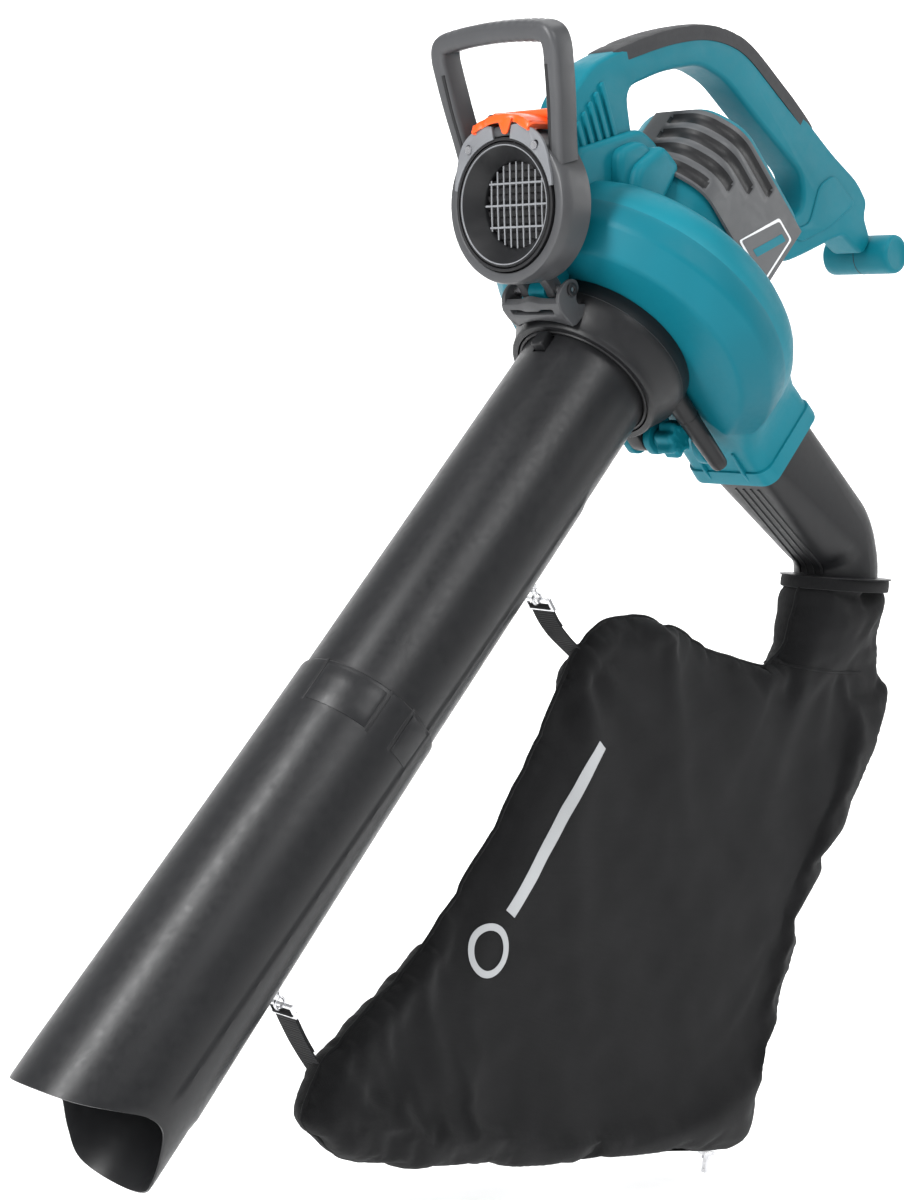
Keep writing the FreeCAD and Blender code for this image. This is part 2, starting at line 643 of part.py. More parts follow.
def motor_frame():
    """The pieces of the motor that stand still."""
    stator = turned("stator", [
        ("armature_x - 1", "armature_radius + air_gap"),
        ("armature_x + armature_length + 1", "armature_radius + air_gap"),
        ("armature_x + armature_length + 1", "stator_radius"), ("armature_x - 1", "stator_radius")])
    for low, high in ((8, 60), (-60, -8)):
        pocket(stator, "XY_Plane", [[("armature_x - 2", -30), ("armature_x + armature_length + 2", -30),
                                     ("armature_x + armature_length + 2", -34),
                                     ("armature_x - 2", -34)]], low / 4, high / 4)
    seat(stator)
    coils = []
    for side in (1, -1):
        outer = block("armature_length + 24", 34, 7, "armature_x + armature_length / 2", 0, 49 * side)
        inner = block("armature_length + 4", 18, 9, "armature_x + armature_length / 2", 0, 49 * side)
        coils.append(cut(outer, inner))
    seat_group(keep(group(coils), "field_coils"))
    front = turned("front_bearing", [
        ("front_bearing_x", "shaft_radius + bearing_clearance"),
        ("front_bearing_x + bearing_width", "shaft_radius + bearing_clearance"),
        ("front_bearing_x + bearing_width", "bearing_radius"),
        ("front_bearing_x", "bearing_radius")])
    seat(front)
    rear = turned("rear_bearing", [
        ("rear_bearing_x", "shaft_radius + bearing_clearance"),
        ("rear_bearing_x + bearing_width", "shaft_radius + bearing_clearance"),
        ("rear_bearing_x + bearing_width", "bearing_radius"), ("rear_bearing_x", "bearing_radius")])
    seat(rear)
    plate_front = turned("motor_plate", [
        ("front_bearing_x", "bearing_radius"), ("front_bearing_x + bearing_width", "bearing_radius"),
        ("front_bearing_x + bearing_width", "bearing_radius + 6"), ("back_x", "bearing_radius + 6"),
        ("back_x", "stator_radius + 16"), ("back_x - 4", "stator_radius + 16"),
        ("back_x - 4", "bearing_radius + 6"), ("front_bearing_x", "bearing_radius + 6")])
    seat(plate_front)
    disc = DOC.addObject("PartDesign::Body", "Disc")
    add_turning(disc, [
        ("rear_bearing_x", "bearing_radius"), ("rear_bearing_x + bearing_width", "bearing_radius"),
        ("rear_bearing_x + bearing_width", "bearing_radius + 5"), ("rear_bearing_x + 5", "stator_radius"),
        ("rear_bearing_x", "stator_radius")])
    holders, brushes = [disc], []
    middle = num("commutator_x + commutator_length / 2")
    back = num("rear_bearing_x + 3")
    for side in (1, -1):
        reach = 27 * side
        tube = cut(block(14, 22, 12, middle, reach, 0), block(9, 24, 7, middle, reach, 0))
        post = block(middle - 6 - back, 12, 12, (middle - 6 + back) / 2, reach, 0)
        holders += [tube, post]
        brushes.append(block(8.8, 18, 6.8, middle, (num("commutator_radius") + 0.05 + 9) * side, 0))
    seat(keep(fused(holders), "rear_bracket"))
    seat_group(keep(group(brushes), "carbon_brushes"))


# ---------------------------------------------------------------- motor cover
def half_section(side, grow=0):
    """Half of the cover's eight-sided section, from the split plane to one side."""
    width = "(cover_half_width + %g)" % grow
    top, bottom = "(cover_top + %g)" % grow, "(cover_bottom - %g)" % grow
    cut_back = "cover_chamfer"
    return [(0, bottom), ("%d * (%s - %s)" % (side, width, cut_back), bottom),
            ("%d * %s" % (side, width), "%s + %s" % (bottom, cut_back)),
            ("%d * %s" % (side, width), "%s - %s" % (top, cut_back)),
            ("%d * (%s - %s)" % (side, width, cut_back), top), (0, top)]


def motor_covers():
    """Left and right clamshells behind the fan housing."""
    for label, side in (("motor_cover_left", 1), ("motor_cover_right", -1)):
        cover = plate(label, "YZ_Plane", [half_section(side)], "cover_back", "back_x")
        split, front = faces_along("y", 0), faces_along("x", num("back_x"))
        hollow(cover, "cover_wall", lambda face, a=split, b=front: a(face) or b(face))
        for i in range(4):
            x = "cover_back + %g" % (22 + 20 * i)
            pocket(cover, "XZ_Plane", [[(x, -30), (x + " + 9", -30), (x + " + 9", 45), (x, 45)]],
                   *(("cover_half_width - 15", "cover_half_width + 5") if side > 0 else
                     ("-cover_half_width - 5", "-cover_half_width + 15")))
        seat(cover)


def strip_section(grow_in, grow_out):
    """The vent panel's section: a band that wraps the cover's top and left side."""
    outer = half_section(1, grow_out)[2:]
    inner = half_section(1, grow_in)[2:]
    return outer[:3] + [(-40, outer[3][1]), (-40, inner[3][1])] + inner[:3][::-1]


def vent_panel():
    """A grey panel with four long slots over dark louvres."""
    panel = plate("vent_panel", "YZ_Plane", [strip_section(0.1, 3)],
                  "cover_back + 12", "cover_back + 94")
    for i in range(4):
        x = "cover_back + %g" % (22 + 20 * i)
        pocket(panel, "XZ_Plane", [[(x, -30), (x + " + 9", -30), (x + " + 9", 45), (x, 45)]],
               "cover_half_width - 5", "cover_half_width + 10")
    seat(panel)
    slats = []
    for i in range(4):
        slats.append(block(7, 1.6, 78, num("cover_back") + 26.5 + 20 * i,
                           num("cover_half_width") - 4.2, 7))
    seat_group(keep(group(slats), "vent_louvres"))


# ---------------------------------------------------------------- main handle
# Side outline of the handle moulding in the tool's x, z plane, and the finger gap in it.
HANDLE_OUTLINE = [(-66, 142.7), (-100, 172), (-128, 196), (-148, 205), (-172, 206), (-193, 206),
                  (-223, 195), (-266, 174), (-300, 155), (-334, 131), (-360, 103), (-377, 70),
                  (-389, 10), (-407, -90), (-420, -138), (-418, -165), (-404, -172), (-396, -198),
                  (-374, -198), (-364, -160), (-349, -152), (-300, -128), (-279.5, -118),
                  (-279.5, -82), (-333, -97), (-355, -72), (-336, 20), (-327, 72), (-308, 108),
                  (-263, 138), (-213, 161), (-183, 116), (-183, 88.5), (-130.8, 88.5),
                  (-130.8, 142.7)]
OVERMOULD_LINE = [(-223, 195), (-266, 174), (-300, 155), (-334, 131), (-360, 103), (-377, 70),
                  (-389, 10), (-400, -50)]


def handle_shells():
    """Two clamshells that form the tower, the grip, the rear bridge and the cable foot."""
    wall, half = num("handle_wall"), num("handle_half_width")
    cavity = inset(HANDLE_OUTLINE, wall)
    socket = [(-430, "mains_inlet_z - mains_inlet_radius"), (-412, "mains_inlet_z - mains_inlet_radius"),
              (-412, "mains_inlet_z + mains_inlet_radius"), (-430, "mains_inlet_z + mains_inlet_radius")]
    for label, side in (("handle_left", 1), ("handle_right", -1)):
        def span(near, far, side=side):
            return (near, far) if side > 0 else (-far, -near)
        shell = plate(label, "XZ_Plane", [HANDLE_OUTLINE], *span(0, half))
        pocket(shell, "XZ_Plane", [cavity], *span(-1, half - wall))
        foot_end = num("foot_half_length")
        waist = num("foot_waist")
        add_slab(shell, "XZ_Plane", [("circle", "foot_x", "foot_z", "foot_radius - 0.8")], *span(0, waist))
        add_slab(shell, "XZ_Plane", [("circle", "foot_x", "foot_z", "foot_radius")], *span(waist, foot_end))
        pocket(shell, "XZ_Plane", [("circle", "foot_x", "foot_z", "foot_radius - handle_wall")],
               *span(-1, foot_end - wall))
        pocket(shell, "XZ_Plane", [("circle", "dial_x", "dial_z", "dial_radius + 1")],
               *span(-1, num("dial_half_width") + 0.5))
        pocket(shell, "XZ_Plane", [socket], *span(-1, num("mains_inlet_radius")))
        if side < 0:
            screw_seats(shell, half, wall)
        seat(shell)


# Where the handle's screws go through the right shell, in the tool's x, z plane.
SCREW_PLACES = [(-100, 156), (-240, 165), (-352, 88), (-384, -40), (-330, -118)]


def screw_seats(shell, half, wall):
    """Counterbored holes in the right shell, and the screws that fill them."""
    screws = []
    for x, z in SCREW_PLACES:
        pocket(shell, "XZ_Plane", [("circle", x, z, "screw_head_radius")], -half - 1, -half + 1.5)
        pocket(shell, "XZ_Plane", [("circle", x, z, "screw_radius")], -half, -half + wall + 1)
        head = cylinder("screw_head_radius", 1.2, x, -half + 0.3, z, "y")
        shank = cylinder("screw_radius", 2 * half - wall - 1.5, x, -half + 1.5, z, "y")
        screws.append(fused([head, shank]))
    seat_group(keep(group(screws), "housing_screws"))


def grip_overmould():
    """A soft strip moulded over the top and back of the grip."""
    outer = []
    for i, (x, z) in enumerate(OVERMOULD_LINE):
        before = OVERMOULD_LINE[max(i - 1, 0)]
        after = OVERMOULD_LINE[min(i + 1, len(OVERMOULD_LINE) - 1)]
        run = math.hypot(after[0] - before[0], after[1] - before[1])
        lift = num("overmould_thick")
        outer.append((x + lift * (after[1] - before[1]) / run, z - lift * (after[0] - before[0]) / run))
    strip = plate("grip_overmould", "XZ_Plane", [OVERMOULD_LINE + outer[::-1]],
                  "-overmould_half_width", "overmould_half_width")
    seat(strip)


def controls():
    """The speed wheel in the front of the grip, the switch below it and the mains inlet."""
    dial = plate("speed_dial", "XZ_Plane", [("circle", 0, 0, "dial_radius"),
                                            ("circle", 0, 0, "dial_axle_radius + running_clearance")],
                 "-dial_half_width", "dial_half_width")
    for i in range(12):
        angle = i * math.pi / 6
        x = "%.4f * (dial_radius + 0.6)" % math.cos(angle)
        z = "%.4f * (dial_radius + 0.6)" % math.sin(angle)
        pocket(dial, "XZ_Plane", [("circle", x, z, 1.2)], "-dial_half_width - 1", "dial_half_width + 1")
    seat(dial, "dial_x", 0, "dial_z")
    axle = cylinder("dial_axle_radius", "2 * dial_half_width + 12", "dial_x",
                    "-dial_half_width - 6", "dial_z", "y")
    case = block(26, 24, 30, "dial_x + 4", 0, "dial_z - 40")
    fork = []
    for side in ("dial_half_width + 4.5", "-dial_half_width - 4.5"):
        fork.append(block(12, 3, 12, "dial_x", side, "dial_z"))
        fork.append(block(10, 3, 30, "dial_x", side, "dial_z - 16"))
    seat_group(keep(fused([axle, case] + fork), "switch_module"))
    socket = turned("mains_inlet", [(-24, 0), (0, 0), (0, "mains_inlet_radius - 0.5"),
                                    (-24, "mains_inlet_radius - 0.5")])
    DOC.recompute()
    pocket(socket, "YZ_Plane", [("circle", 0, 0, "mains_inlet_radius - 3")], -24.5, -6)
    for y in (-5, 5):
        add_slab(socket, "YZ_Plane", [("circle", y, 0, 2.4)], -22, -5)
    seat(socket, "mains_inlet_x + 24", 0, "mains_inlet_z")


# ---------------------------------------------------------------- intake cover
def front_handle():
    """The cover's ring, its hinge arms, the lever's ears and the bow-shaped handle."""
    ring = DOC.addObject("PartDesign::Body", "Ring")
    add_slab(ring, "YZ_Plane", [("circle", 0, 0, "ring_radius"), ("circle", 0, 0, "ring_inner_radius")],
             "-ring_depth", "ring_front")
    hinge = COVER_TURN.inverted().multVec(Vector(num("hinge_x - cover_x"), 0, num("hinge_z - cover_z")))
    x, z = round(hinge.x, 3), round(hinge.z, 3)
    arm = [(x - 8, z), (x - 2, z - 8), (x + 8, z - 3), ("14 - ring_depth", "-ring_inner_radius - 4"),
           ("-ring_depth", "-ring_inner_radius - 3"), ("-ring_depth - 6", z + 12)]
    notch = [("-ring_depth - 1", -80), ("14 - ring_depth", -80), ("14 - ring_depth", -50),
             ("-ring_depth - 1", -50)]
    pocket(ring, "XZ_Plane", [notch], -10.5, 10.5)
    for low, high in ((10.5, 20), (-20, -10.5)):
        add_slab(ring, "XZ_Plane", [arm], low, high)
        pocket(ring, "XZ_Plane", [("circle", x, z, "hinge_radius + running_clearance")],
               low - 1, high + 1)
    ear = [("lever_pin_x - 5", 50), ("lever_pin_x + 5", 50), ("lever_pin_x + 5", "lever_pin_z + 4"),
           ("lever_pin_x - 5", "lever_pin_z + 4")]
    for low, high in ((38.5, 42.5), (-42.5, -38.5)):
        add_slab(ring, "XZ_Plane", [ear], low, high)
        pocket(ring, "XZ_Plane", [("circle", "lever_pin_x", "lever_pin_z", "lever_pin_radius")],
               low - 1, high + 1)
    bow = DOC.addObject("PartDesign::Body", "Bow")
    outside = [(-62, 0), (-72, 62), (-76, 108), (-70, 118), (-38, 123.5), (0, 125), (38, 123.5),
               (70, 118), (76, 108), (72, 62), (62, 0), (48, 0), (55, 62), (58, 92), (52, 98),
               (0, 103), (-52, 98), (-58, 92), (-55, 62), (-48, 0)]
    add_slab(bow, "YZ_Plane", [outside], "-bow_depth / 2", "bow_depth / 2")
    DOC.recompute()
    bow.Placement = Placement(Vector(-16, 0, num("bow_root_z")),
                              Rotation(Vector(0, 1, 0), num("bow_lean")))
    whole = keep(fused([ring, bow]), "front_handle")
    seat_on_cover(whole)


def intake_funnel():
    """The dark funnel inside the ring, and the wire grille across its throat."""
    funnel = turned("cover_funnel", [
        ("-ring_depth", "ring_inner_radius - 3"), ("ring_front + 2", "ring_inner_radius - 3"),
        ("ring_front + 2", "ring_inner_radius - 2.7"), ("ring_front + 2", "ring_inner_radius"),
        ("-ring_depth", "ring_inner_radius")])
    add_turning(funnel, [("ring_front + 2", "funnel_rim_radius - 1.5"),
                         ("ring_front + 2", "funnel_rim_radius + 0.5"),
                         ("ring_front - 2", "funnel_rim_radius + 0.5"),
                         ("-funnel_depth", "funnel_throat_radius + 2"),
                         ("-funnel_depth - 4", "funnel_throat_radius + 2"),
                         ("-funnel_depth - 4", "funnel_throat_radius"),
                         ("-funnel_depth", "funnel_throat_radius")])
    pocket(funnel, "XZ_Plane", [[("-ring_depth - 1", -80), ("14 - ring_depth", -80),
                                 ("14 - ring_depth", -50), ("-ring_depth - 1", -50)]], -10.5, 10.5)
    seat_on_cover(funnel)
    bars = []
    bar = "grille_bar"
    pitch_y = 2 * num("funnel_throat_radius") / (num("grille_columns") + 1)
    pitch_z = 2 * num("funnel_throat_radius") / (num("grille_rows") + 1)
    depth = -num("funnel_depth") - 2
    for i in range(int(num("grille_columns"))):
        offset = (i - (num("grille_columns") - 1) / 2) * pitch_y
        bars.append(block(bar, bar, "2 * funnel_throat_radius", depth, offset, 0))
    for i in range(int(num("grille_rows"))):
        offset = (i - (num("grille_rows") - 1) / 2) * pitch_z
        bars.append(block(bar, "2 * funnel_throat_radius", bar, depth, 0, offset))
    mesh = DOC.addObject("Part::MultiCommon", "Common")
    mesh.Shapes = [fused(bars), cylinder("funnel_throat_radius - 0.5", 8, depth - 4, 0, 0, "x")]
    rim = sleeve("funnel_throat_radius - 0.05", "funnel_throat_radius - 2", 2.5, depth - 1.25, 0, 0, "x")
    grille = keep(fused([mesh, rim]), "intake_grille")
    seat_on_cover(grille)


def arc_band(inner, outer, angle_from, angle_to, x_low, x_high):
    """A solid slice of a ring about the x axis; angles in degrees from +y towards +z."""
    def at(radius, angle):
        turn = math.radians(angle)
        return Vector(x_low, radius * math.cos(turn), radius * math.sin(turn))
    middle = (angle_from + angle_to) / 2
    edges = [Part.Arc(at(inner, angle_from), at(inner, middle), at(inner, angle_to)).toShape(),
             Part.LineSegment(at(inner, angle_to), at(outer, angle_to)).toShape(),
             Part.Arc(at(outer, angle_to), at(outer, middle), at(outer, angle_from)).toShape(),
             Part.LineSegment(at(outer, angle_from), at(inner, angle_from)).toShape()]
    return Part.Face(Part.Wire(edges)).extrude(Vector(x_high - x_low, 0, 0))


def cover_trim():
    """The two clamping plates on the ring with their screws, and the orange lever."""
    front = num("ring_front")
    plates, screws = [], []
    for angle_from, angle_to in ((22, 80), (100, 158)):
        middle = math.radians((angle_from + angle_to) / 2)
        y, z = 63 * math.cos(middle), 63 * math.sin(middle)
        hole = Part.makeCylinder(num("screw_radius"), 20, Vector(front - 10, y, z), Vector(1, 0, 0))
        plates.append(arc_band(58.5, 68, angle_from, angle_to, front, front + 3).cut(hole))
        head = Part.makeCylinder(num("screw_radius") + 1, 1.5, Vector(front + 3, y, z), Vector(1, 0, 0))
        shank = Part.makeCylinder(num("screw_radius") - 0.4, 3, Vector(front, y, z), Vector(1, 0, 0))
        screws.append(head.fuse(shank))
    seat_on_cover(shaped("cover_wings", Part.Compound(plates)))
    seat_on_cover(shaped("cover_screws", Part.Compound(screws)))
    x, z = num("lever_pin_x"), num("lever_pin_z")
    half = num("lever_half_angle")
    reach = num("lever_outer_radius") * math.sin(math.radians(half))
    band = arc_band(num("lever_inner_radius"), num("lever_outer_radius"), 90 - half, 90 + half,
                    x, num("lever_front"))
    barrel = bar_y(5, -reach, reach, x, z)
    bore = bar_y(num("lever_pin_radius") + num("running_clearance"), -50, 50, x, z)
    notch = Part.makeBox(18, 9, 40, Vector(x - 9, -4.5, z - 20))
    seat_on_cover(shaped("release_lever", band.fuse(barrel).cut(bore).cut(notch).removeSplitter()))
    pin = keep(cylinder("lever_pin_radius", 85, "lever_pin_x", -42.5, "lever_pin_z", "y"), "lever_pin")
    cover = TOOL.multiply(Placement(Vector(num("cover_x"), 0, num("cover_z")), COVER_TURN))
    pin.Placement = cover.multiply(pin.Placement)
    helix = Part.makeHelix(1.4, 7, 3.6)
    ring = Part.Wire(Part.makeCircle(0.45, Vector(3.6, 0, 0), Vector(0, 1, 0)))
    coil = helix.makePipeShell([ring], True, False)
    spring = shaped("lever_spring", coil)
    lie_across = Placement(Vector(x, -3.5, z), Rotation(Vector(1, 0, 0), -90))
    spring.Placement = cover.multiply(lie_across)


# ---------------------------------------------------------------- discharge pipe
def discharge_pipe():
    """A straight pipe out of the housing with an elbow that points the bag straight down."""
    pipe = body("discharge_pipe")
    bend, angle = num("pipe_bend_radius"), math.radians(num("pipe_bend_angle"))
    run = num("pipe_run")
    spine = add_sketch(pipe, "XZ_Plane", [])
    spine.addGeometry(Part.LineSegment(Vector(0, 0, 0), Vector(0, -run, 0)), False)
    centre = Vector(bend, -run, 0)
    arc = Part.ArcOfCircle(Part.Circle(centre, Vector(0, 0, 1), bend), math.pi, math.pi + angle)
    spine.addGeometry(arc, False)
    spine.addConstraint(Sketcher.Constraint("Coincident", 0, 1, -1, 1))
    spine.addConstraint(Sketcher.Constraint("Vertical", 0))
    spine.addConstraint(Sketcher.Constraint("Tangent", 0, 2, 1, 1))
    length = spine.addConstraint(Sketcher.Constraint("DistanceY", 0, 2, 0, 1, run))
    spine.setExpression("Constraints[%d]" % length, bound("pipe_run"))
    radius = spine.addConstraint(Sketcher.Constraint("Radius", 1, bend))
    spine.setExpression("Constraints[%d]" % radius, bound("pipe_bend_radius"))
    DOC.recompute()
    for kind, edge in (("PartDesign::AdditivePipe", "pipe_radius"),
                       ("PartDesign::SubtractivePipe", "pipe_radius - pipe_wall")):
        profile = add_sketch(pipe, "XY_Plane", [("circle", 0, 0, edge)])
        sweep = pipe.newObject(kind, "Sweep")
        sweep.Profile = profile
        sweep.Spine = (spine, ["Edge1", "Edge2"])
        DOC.recompute()
    tilt = Rotation(Vector(0, 1, 0), num("pipe_tilt"))
    seat(pipe, "pipe_start_x", "outlet_y", "pipe_start_z", tilt)
    end = Vector(bend * (1 - math.cos(angle)), 0, -run - bend * math.sin(angle))
    end_turn = Rotation(Vector(0, 1, 0), -num("pipe_bend_angle"))
    flange = plate("bag_flange", "XY_Plane", [("circle", 0, 0, "flange_radius"),
                                              ("circle", 0, 0, "pipe_radius - pipe_wall")],
                   "-flange_thick", 0)
    flange.Placement = pipe.Placement.multiply(Placement(end, end_turn))
    return flange.Placement


# ---------------------------------------------------------------- bag
# Outline of the flat bag in the level frame's x, z plane, from the neck round the seams.
BAG_OUTLINE = [(-452, -138), (-456, -222), (-500, -240), (-478, -305), (-442, -390), (-398, -480),
               (-368, -560), (-340, -640), (-333, -700), (-310, -724), (115, -700), (212, -676),
               (245, -642), (225, -604), (150, -540), (86, -472), (50, -400), (10, -325), (-10, -272),
               (-5, -238), (-38, -214), (-96, -194), (-190, -228), (-300, -236), (-322, -218),
               (-318, -149)]


def collecting_bag():
    """The filled bag as a thin closed shell with an open neck, and its zipper."""
    low, high = "bag_y - bag_half_thick", "bag_y + bag_half_thick"
    bag = plate("bag", "XZ_Plane", [BAG_OUTLINE], low, high)
    inside = inset(BAG_OUTLINE, num("bag_wall"))
    inside[0] = (inside[0][0], BAG_OUTLINE[0][1] + 20)
    inside[-1] = (inside[-1][0], BAG_OUTLINE[0][1] + 20)
    pocket(bag, "XZ_Plane", [inside], low + " + bag_wall", high + " - bag_wall")
    seat(bag, frame=LEVEL)
    (x_right, z_right), (x_left, z_left) = BAG_OUTLINE[9], BAG_OUTLINE[10]
    slope = math.degrees(math.atan2(z_left - z_right, x_left - x_right))
    along = Rotation(Vector(0, 1, 0), -slope)
    length = math.hypot(x_left - x_right, z_left - z_right)
    tape = plate("zipper", "XZ_Plane", [[(4, -2.3), (length - 4, -2.3), (length - 4, -0.3), (4, -0.3)]],
                 "bag_y - 12", "bag_y + 12")
    seat(tape, x_right, 0, z_right, along, LEVEL)
    slider = plate("zip_slider", "XZ_Plane", [[(12, -6), (28, -6), (28, -2.7), (12, -2.7)]],
                   "bag_y - 5", "bag_y + 5")
    for low, high in (("bag_y - 4", "bag_y - 2.5"), ("bag_y + 2.5", "bag_y + 4")):
        add_slab(slider, "XZ_Plane", [[(17, -10.5), (23, -10.5), (23, -6), (17, -6)]], low, high)
    add_slab(slider, "XZ_Plane", [("circle", 20, -8.6, 0.8)], "bag_y - 2.6", "bag_y + 2.6")
    seat(slider, x_right, 0, z_right, along, LEVEL)
    pull = plate("zip_pull", "XZ_Plane", [[(18, -24), (22, -24), (22, -7.2), (18, -7.2)],
                                          ("circle", 20, -8.6, "0.8 + running_clearance")],
                 "bag_y - 2.2", "bag_y + 2.2")
    seat(pull, x_right, 0, z_right, along, LEVEL)


def tube_point(x, z):
    """A point of the tool frame in the level frame."""
    return TOOL.Rotation.multVec(Vector(num(x), 0, num(z)))


def hook_line(lug, bag_end):
    """The frame whose x axis runs from a lug's hole to the bag, and the distance."""
    line = bag_end - lug
    reach = line.Length
    line.normalize()
    angle = math.degrees(math.atan2(-line.z, line.x))
    return Placement(lug, Rotation(Vector(0, 1, 0), angle)), reach


def hook_shapes():
    """A trigger hook and its gate, drawn from the lug's hole along x."""
    wire, loop = num("hook_wire_radius"), num("hook_loop_radius")
    centre = Vector(loop + 1.6, 0, 0)
    ring = Part.makeTorus(loop, wire, centre, Vector(0, 0, 1))
    slot = Part.makeBox(7, 6, 4 * wire, Vector(centre.x - 3.5, loop - 4, -2 * wire))
    stem = Part.makeCylinder(3, 3.9, Vector(centre.x + loop, 0, 0), Vector(1, 0, 0))
    gate = Part.makeCylinder(1.3, 5.6, Vector(centre.x - 3.2, loop, 0), Vector(1, 0, 0))
    gate = gate.fuse(Part.makeCylinder(0.7, 2 * wire, Vector(centre.x + 1.2, loop, -wire), Vector(0, 0, 1)))
    return ring.cut(slot).fuse(stem).removeSplitter(), gate


def eye_shape():
    """The swivel eye behind the hook, square to the hook's loop."""
    x = num("eye_x")
    ring = Part.makeTorus(5, 1.3, Vector(x, 0, 0), Vector(0, 1, 0))
    return ring.fuse(Part.makeCylinder(2.6, 1.9, Vector(x - 6.4, 0, 0), Vector(1, 0, 0)))


def link_shape():
    """The flat link that joins the eye to the webbing."""
    wire, reach, half = num("link_wire"), num("link_reach"), num("strap_width") / 2
    near = num("eye_x") + 1.2
    outside = Part.makeBox(reach + wire, 2 * half + 2 * wire + 1, wire,
                           Vector(near - wire / 2, -half - wire - 0.5, -wire / 2))
    inside = Part.makeBox(reach - wire, 2 * half + 1, 2 * wire,
                          Vector(near + wire / 2, -half - 0.5, -wire))
    return outside.cut(inside)


def straps_and_hooks():
    """Two trigger hooks on the tube's lugs, each linked to a webbing strap on the bag."""
    lines = [("upper", hook_line(tube_point("lug_x_upper", "-tube_radius - 9"), Vector(-5, 0, -235))),
             ("lower", hook_line(tube_point("lug_x_lower", "-lower_radius - 11"), Vector(238, 0, -614)))]
    eyes, links, straps = [], [], []
    start = num("eye_x + 1.2 + link_reach + link_wire / 2 + 0.2")
    half, thick = num("strap_width") / 2, num("strap_thick")
    for name, (base, reach) in lines:
        hook, gate = hook_shapes()
        for label, shape in ((name + "_hook", hook), (name + "_gate", gate)):
            shaped(label, shape).Placement = LEVEL.multiply(base)
        strap = Part.makeBox(reach - start, 2 * half, thick, Vector(start, -half, -thick / 2))
        for solids, shape in ((eyes, eye_shape()), (links, link_shape()), (straps, strap)):
            shape.Placement = base
            solids.append(shape)
    for label, solids in (("hook_eyes", eyes), ("strap_links", links), ("bag_straps", straps)):
        shaped(label, Part.Compound(solids)).Placement = LEVEL


def export():
    """Check every object and sub-part, then write one STEP file per sub-part."""
    DOC.recompute()
    for item in DOC.Objects:
        if "Invalid" in item.State or "Error" in item.State:
            raise RuntimeError("%s (%s) failed to compute" % (item.Label, item.Name))
    for piece in SUBPARTS:
        if piece.Shape.isNull() or not piece.Shape.isValid() or not piece.Shape.Solids:
            raise RuntimeError("%s has no valid solid" % piece.Label)
    os.makedirs(PARTS_DIR, exist_ok=True)
    for piece in SUBPARTS:
        piece.Shape.exportStep(os.path.join(PARTS_DIR, piece.Label + ".step"))
    print(len(SUBPARTS), "sub-parts")


fan_housing()
suction_hood()
hood_arm()
hinge_bracket()
upper_tube()
lower_tube()
tube_lock()
clamp_knob()
motor()
motor_frame()
motor_covers()
vent_panel()
handle_shells()
grip_overmould()
controls()
front_handle()
intake_funnel()
cover_trim()
discharge_pipe()
collecting_bag()
straps_and_hooks()
export()
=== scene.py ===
"""Looks of the leaf blower and vacuum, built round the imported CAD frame.

Most pieces are drawn in millimetres in the tool frame: t runs along the suction tube towards
its mouth, y to the tool's left, w square to both, from the centre of the hood's rim. The
intake cover has a frame of its own: n out of the ring, y to the left, u up the front handle.
The bag is drawn in a level frame at the hood's rim.
"""

import json
import math

import bmesh
import bpy
from mathutils import Matrix, Vector, noise
from mathutils.bvhtree import BVHTree
from mathutils.geometry import delaunay_2d_cdt


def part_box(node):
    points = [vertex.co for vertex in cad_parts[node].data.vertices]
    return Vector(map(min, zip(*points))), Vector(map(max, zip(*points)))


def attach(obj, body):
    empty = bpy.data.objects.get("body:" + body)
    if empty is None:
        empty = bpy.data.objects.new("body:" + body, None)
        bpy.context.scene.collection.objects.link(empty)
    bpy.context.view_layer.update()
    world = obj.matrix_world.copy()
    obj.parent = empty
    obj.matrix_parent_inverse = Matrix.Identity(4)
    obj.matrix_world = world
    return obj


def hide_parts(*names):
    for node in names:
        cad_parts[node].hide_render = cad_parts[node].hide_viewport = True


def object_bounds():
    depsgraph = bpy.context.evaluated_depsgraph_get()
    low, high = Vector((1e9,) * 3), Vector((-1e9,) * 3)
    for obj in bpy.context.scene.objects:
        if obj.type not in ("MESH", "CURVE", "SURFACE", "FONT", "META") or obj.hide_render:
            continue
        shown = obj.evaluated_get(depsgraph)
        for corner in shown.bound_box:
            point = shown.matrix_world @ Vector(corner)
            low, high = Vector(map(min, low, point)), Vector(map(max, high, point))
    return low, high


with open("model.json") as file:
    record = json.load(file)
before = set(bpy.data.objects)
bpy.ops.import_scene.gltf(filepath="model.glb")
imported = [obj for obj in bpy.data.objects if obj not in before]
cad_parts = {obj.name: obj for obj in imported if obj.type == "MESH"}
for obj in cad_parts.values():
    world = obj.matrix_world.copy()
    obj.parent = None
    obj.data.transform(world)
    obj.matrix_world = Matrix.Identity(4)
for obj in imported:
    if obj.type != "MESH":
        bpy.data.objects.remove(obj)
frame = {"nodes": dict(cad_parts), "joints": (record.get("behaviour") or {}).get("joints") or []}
CAD_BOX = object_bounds()
MM = 0.001
JOINTS = {joint["name"]: joint for joint in frame["joints"]}


# ---------------------------------------------------------------- camera
def make_camera():
    """The photograph's camera: level with the tube's middle, on the tool's left and in front."""
    right = Vector((-0.7026, 0.7026, 0.1132))
    up = Vector((0.0800, -0.0800, 0.9936))
    back = right.cross(up)
    data = bpy.data.cameras.new("camera")
    data.lens = 69
    data.sensor_width = 36
    camera = bpy.data.objects.new("camera", data)
    turn = Matrix((right, up, back)).transposed().to_4x4()
    camera.matrix_world = Matrix.Translation((1.6069, 1.4121, -0.5299)) @ turn
    bpy.context.scene.collection.objects.link(camera)
    bpy.context.scene.camera = camera


make_camera()


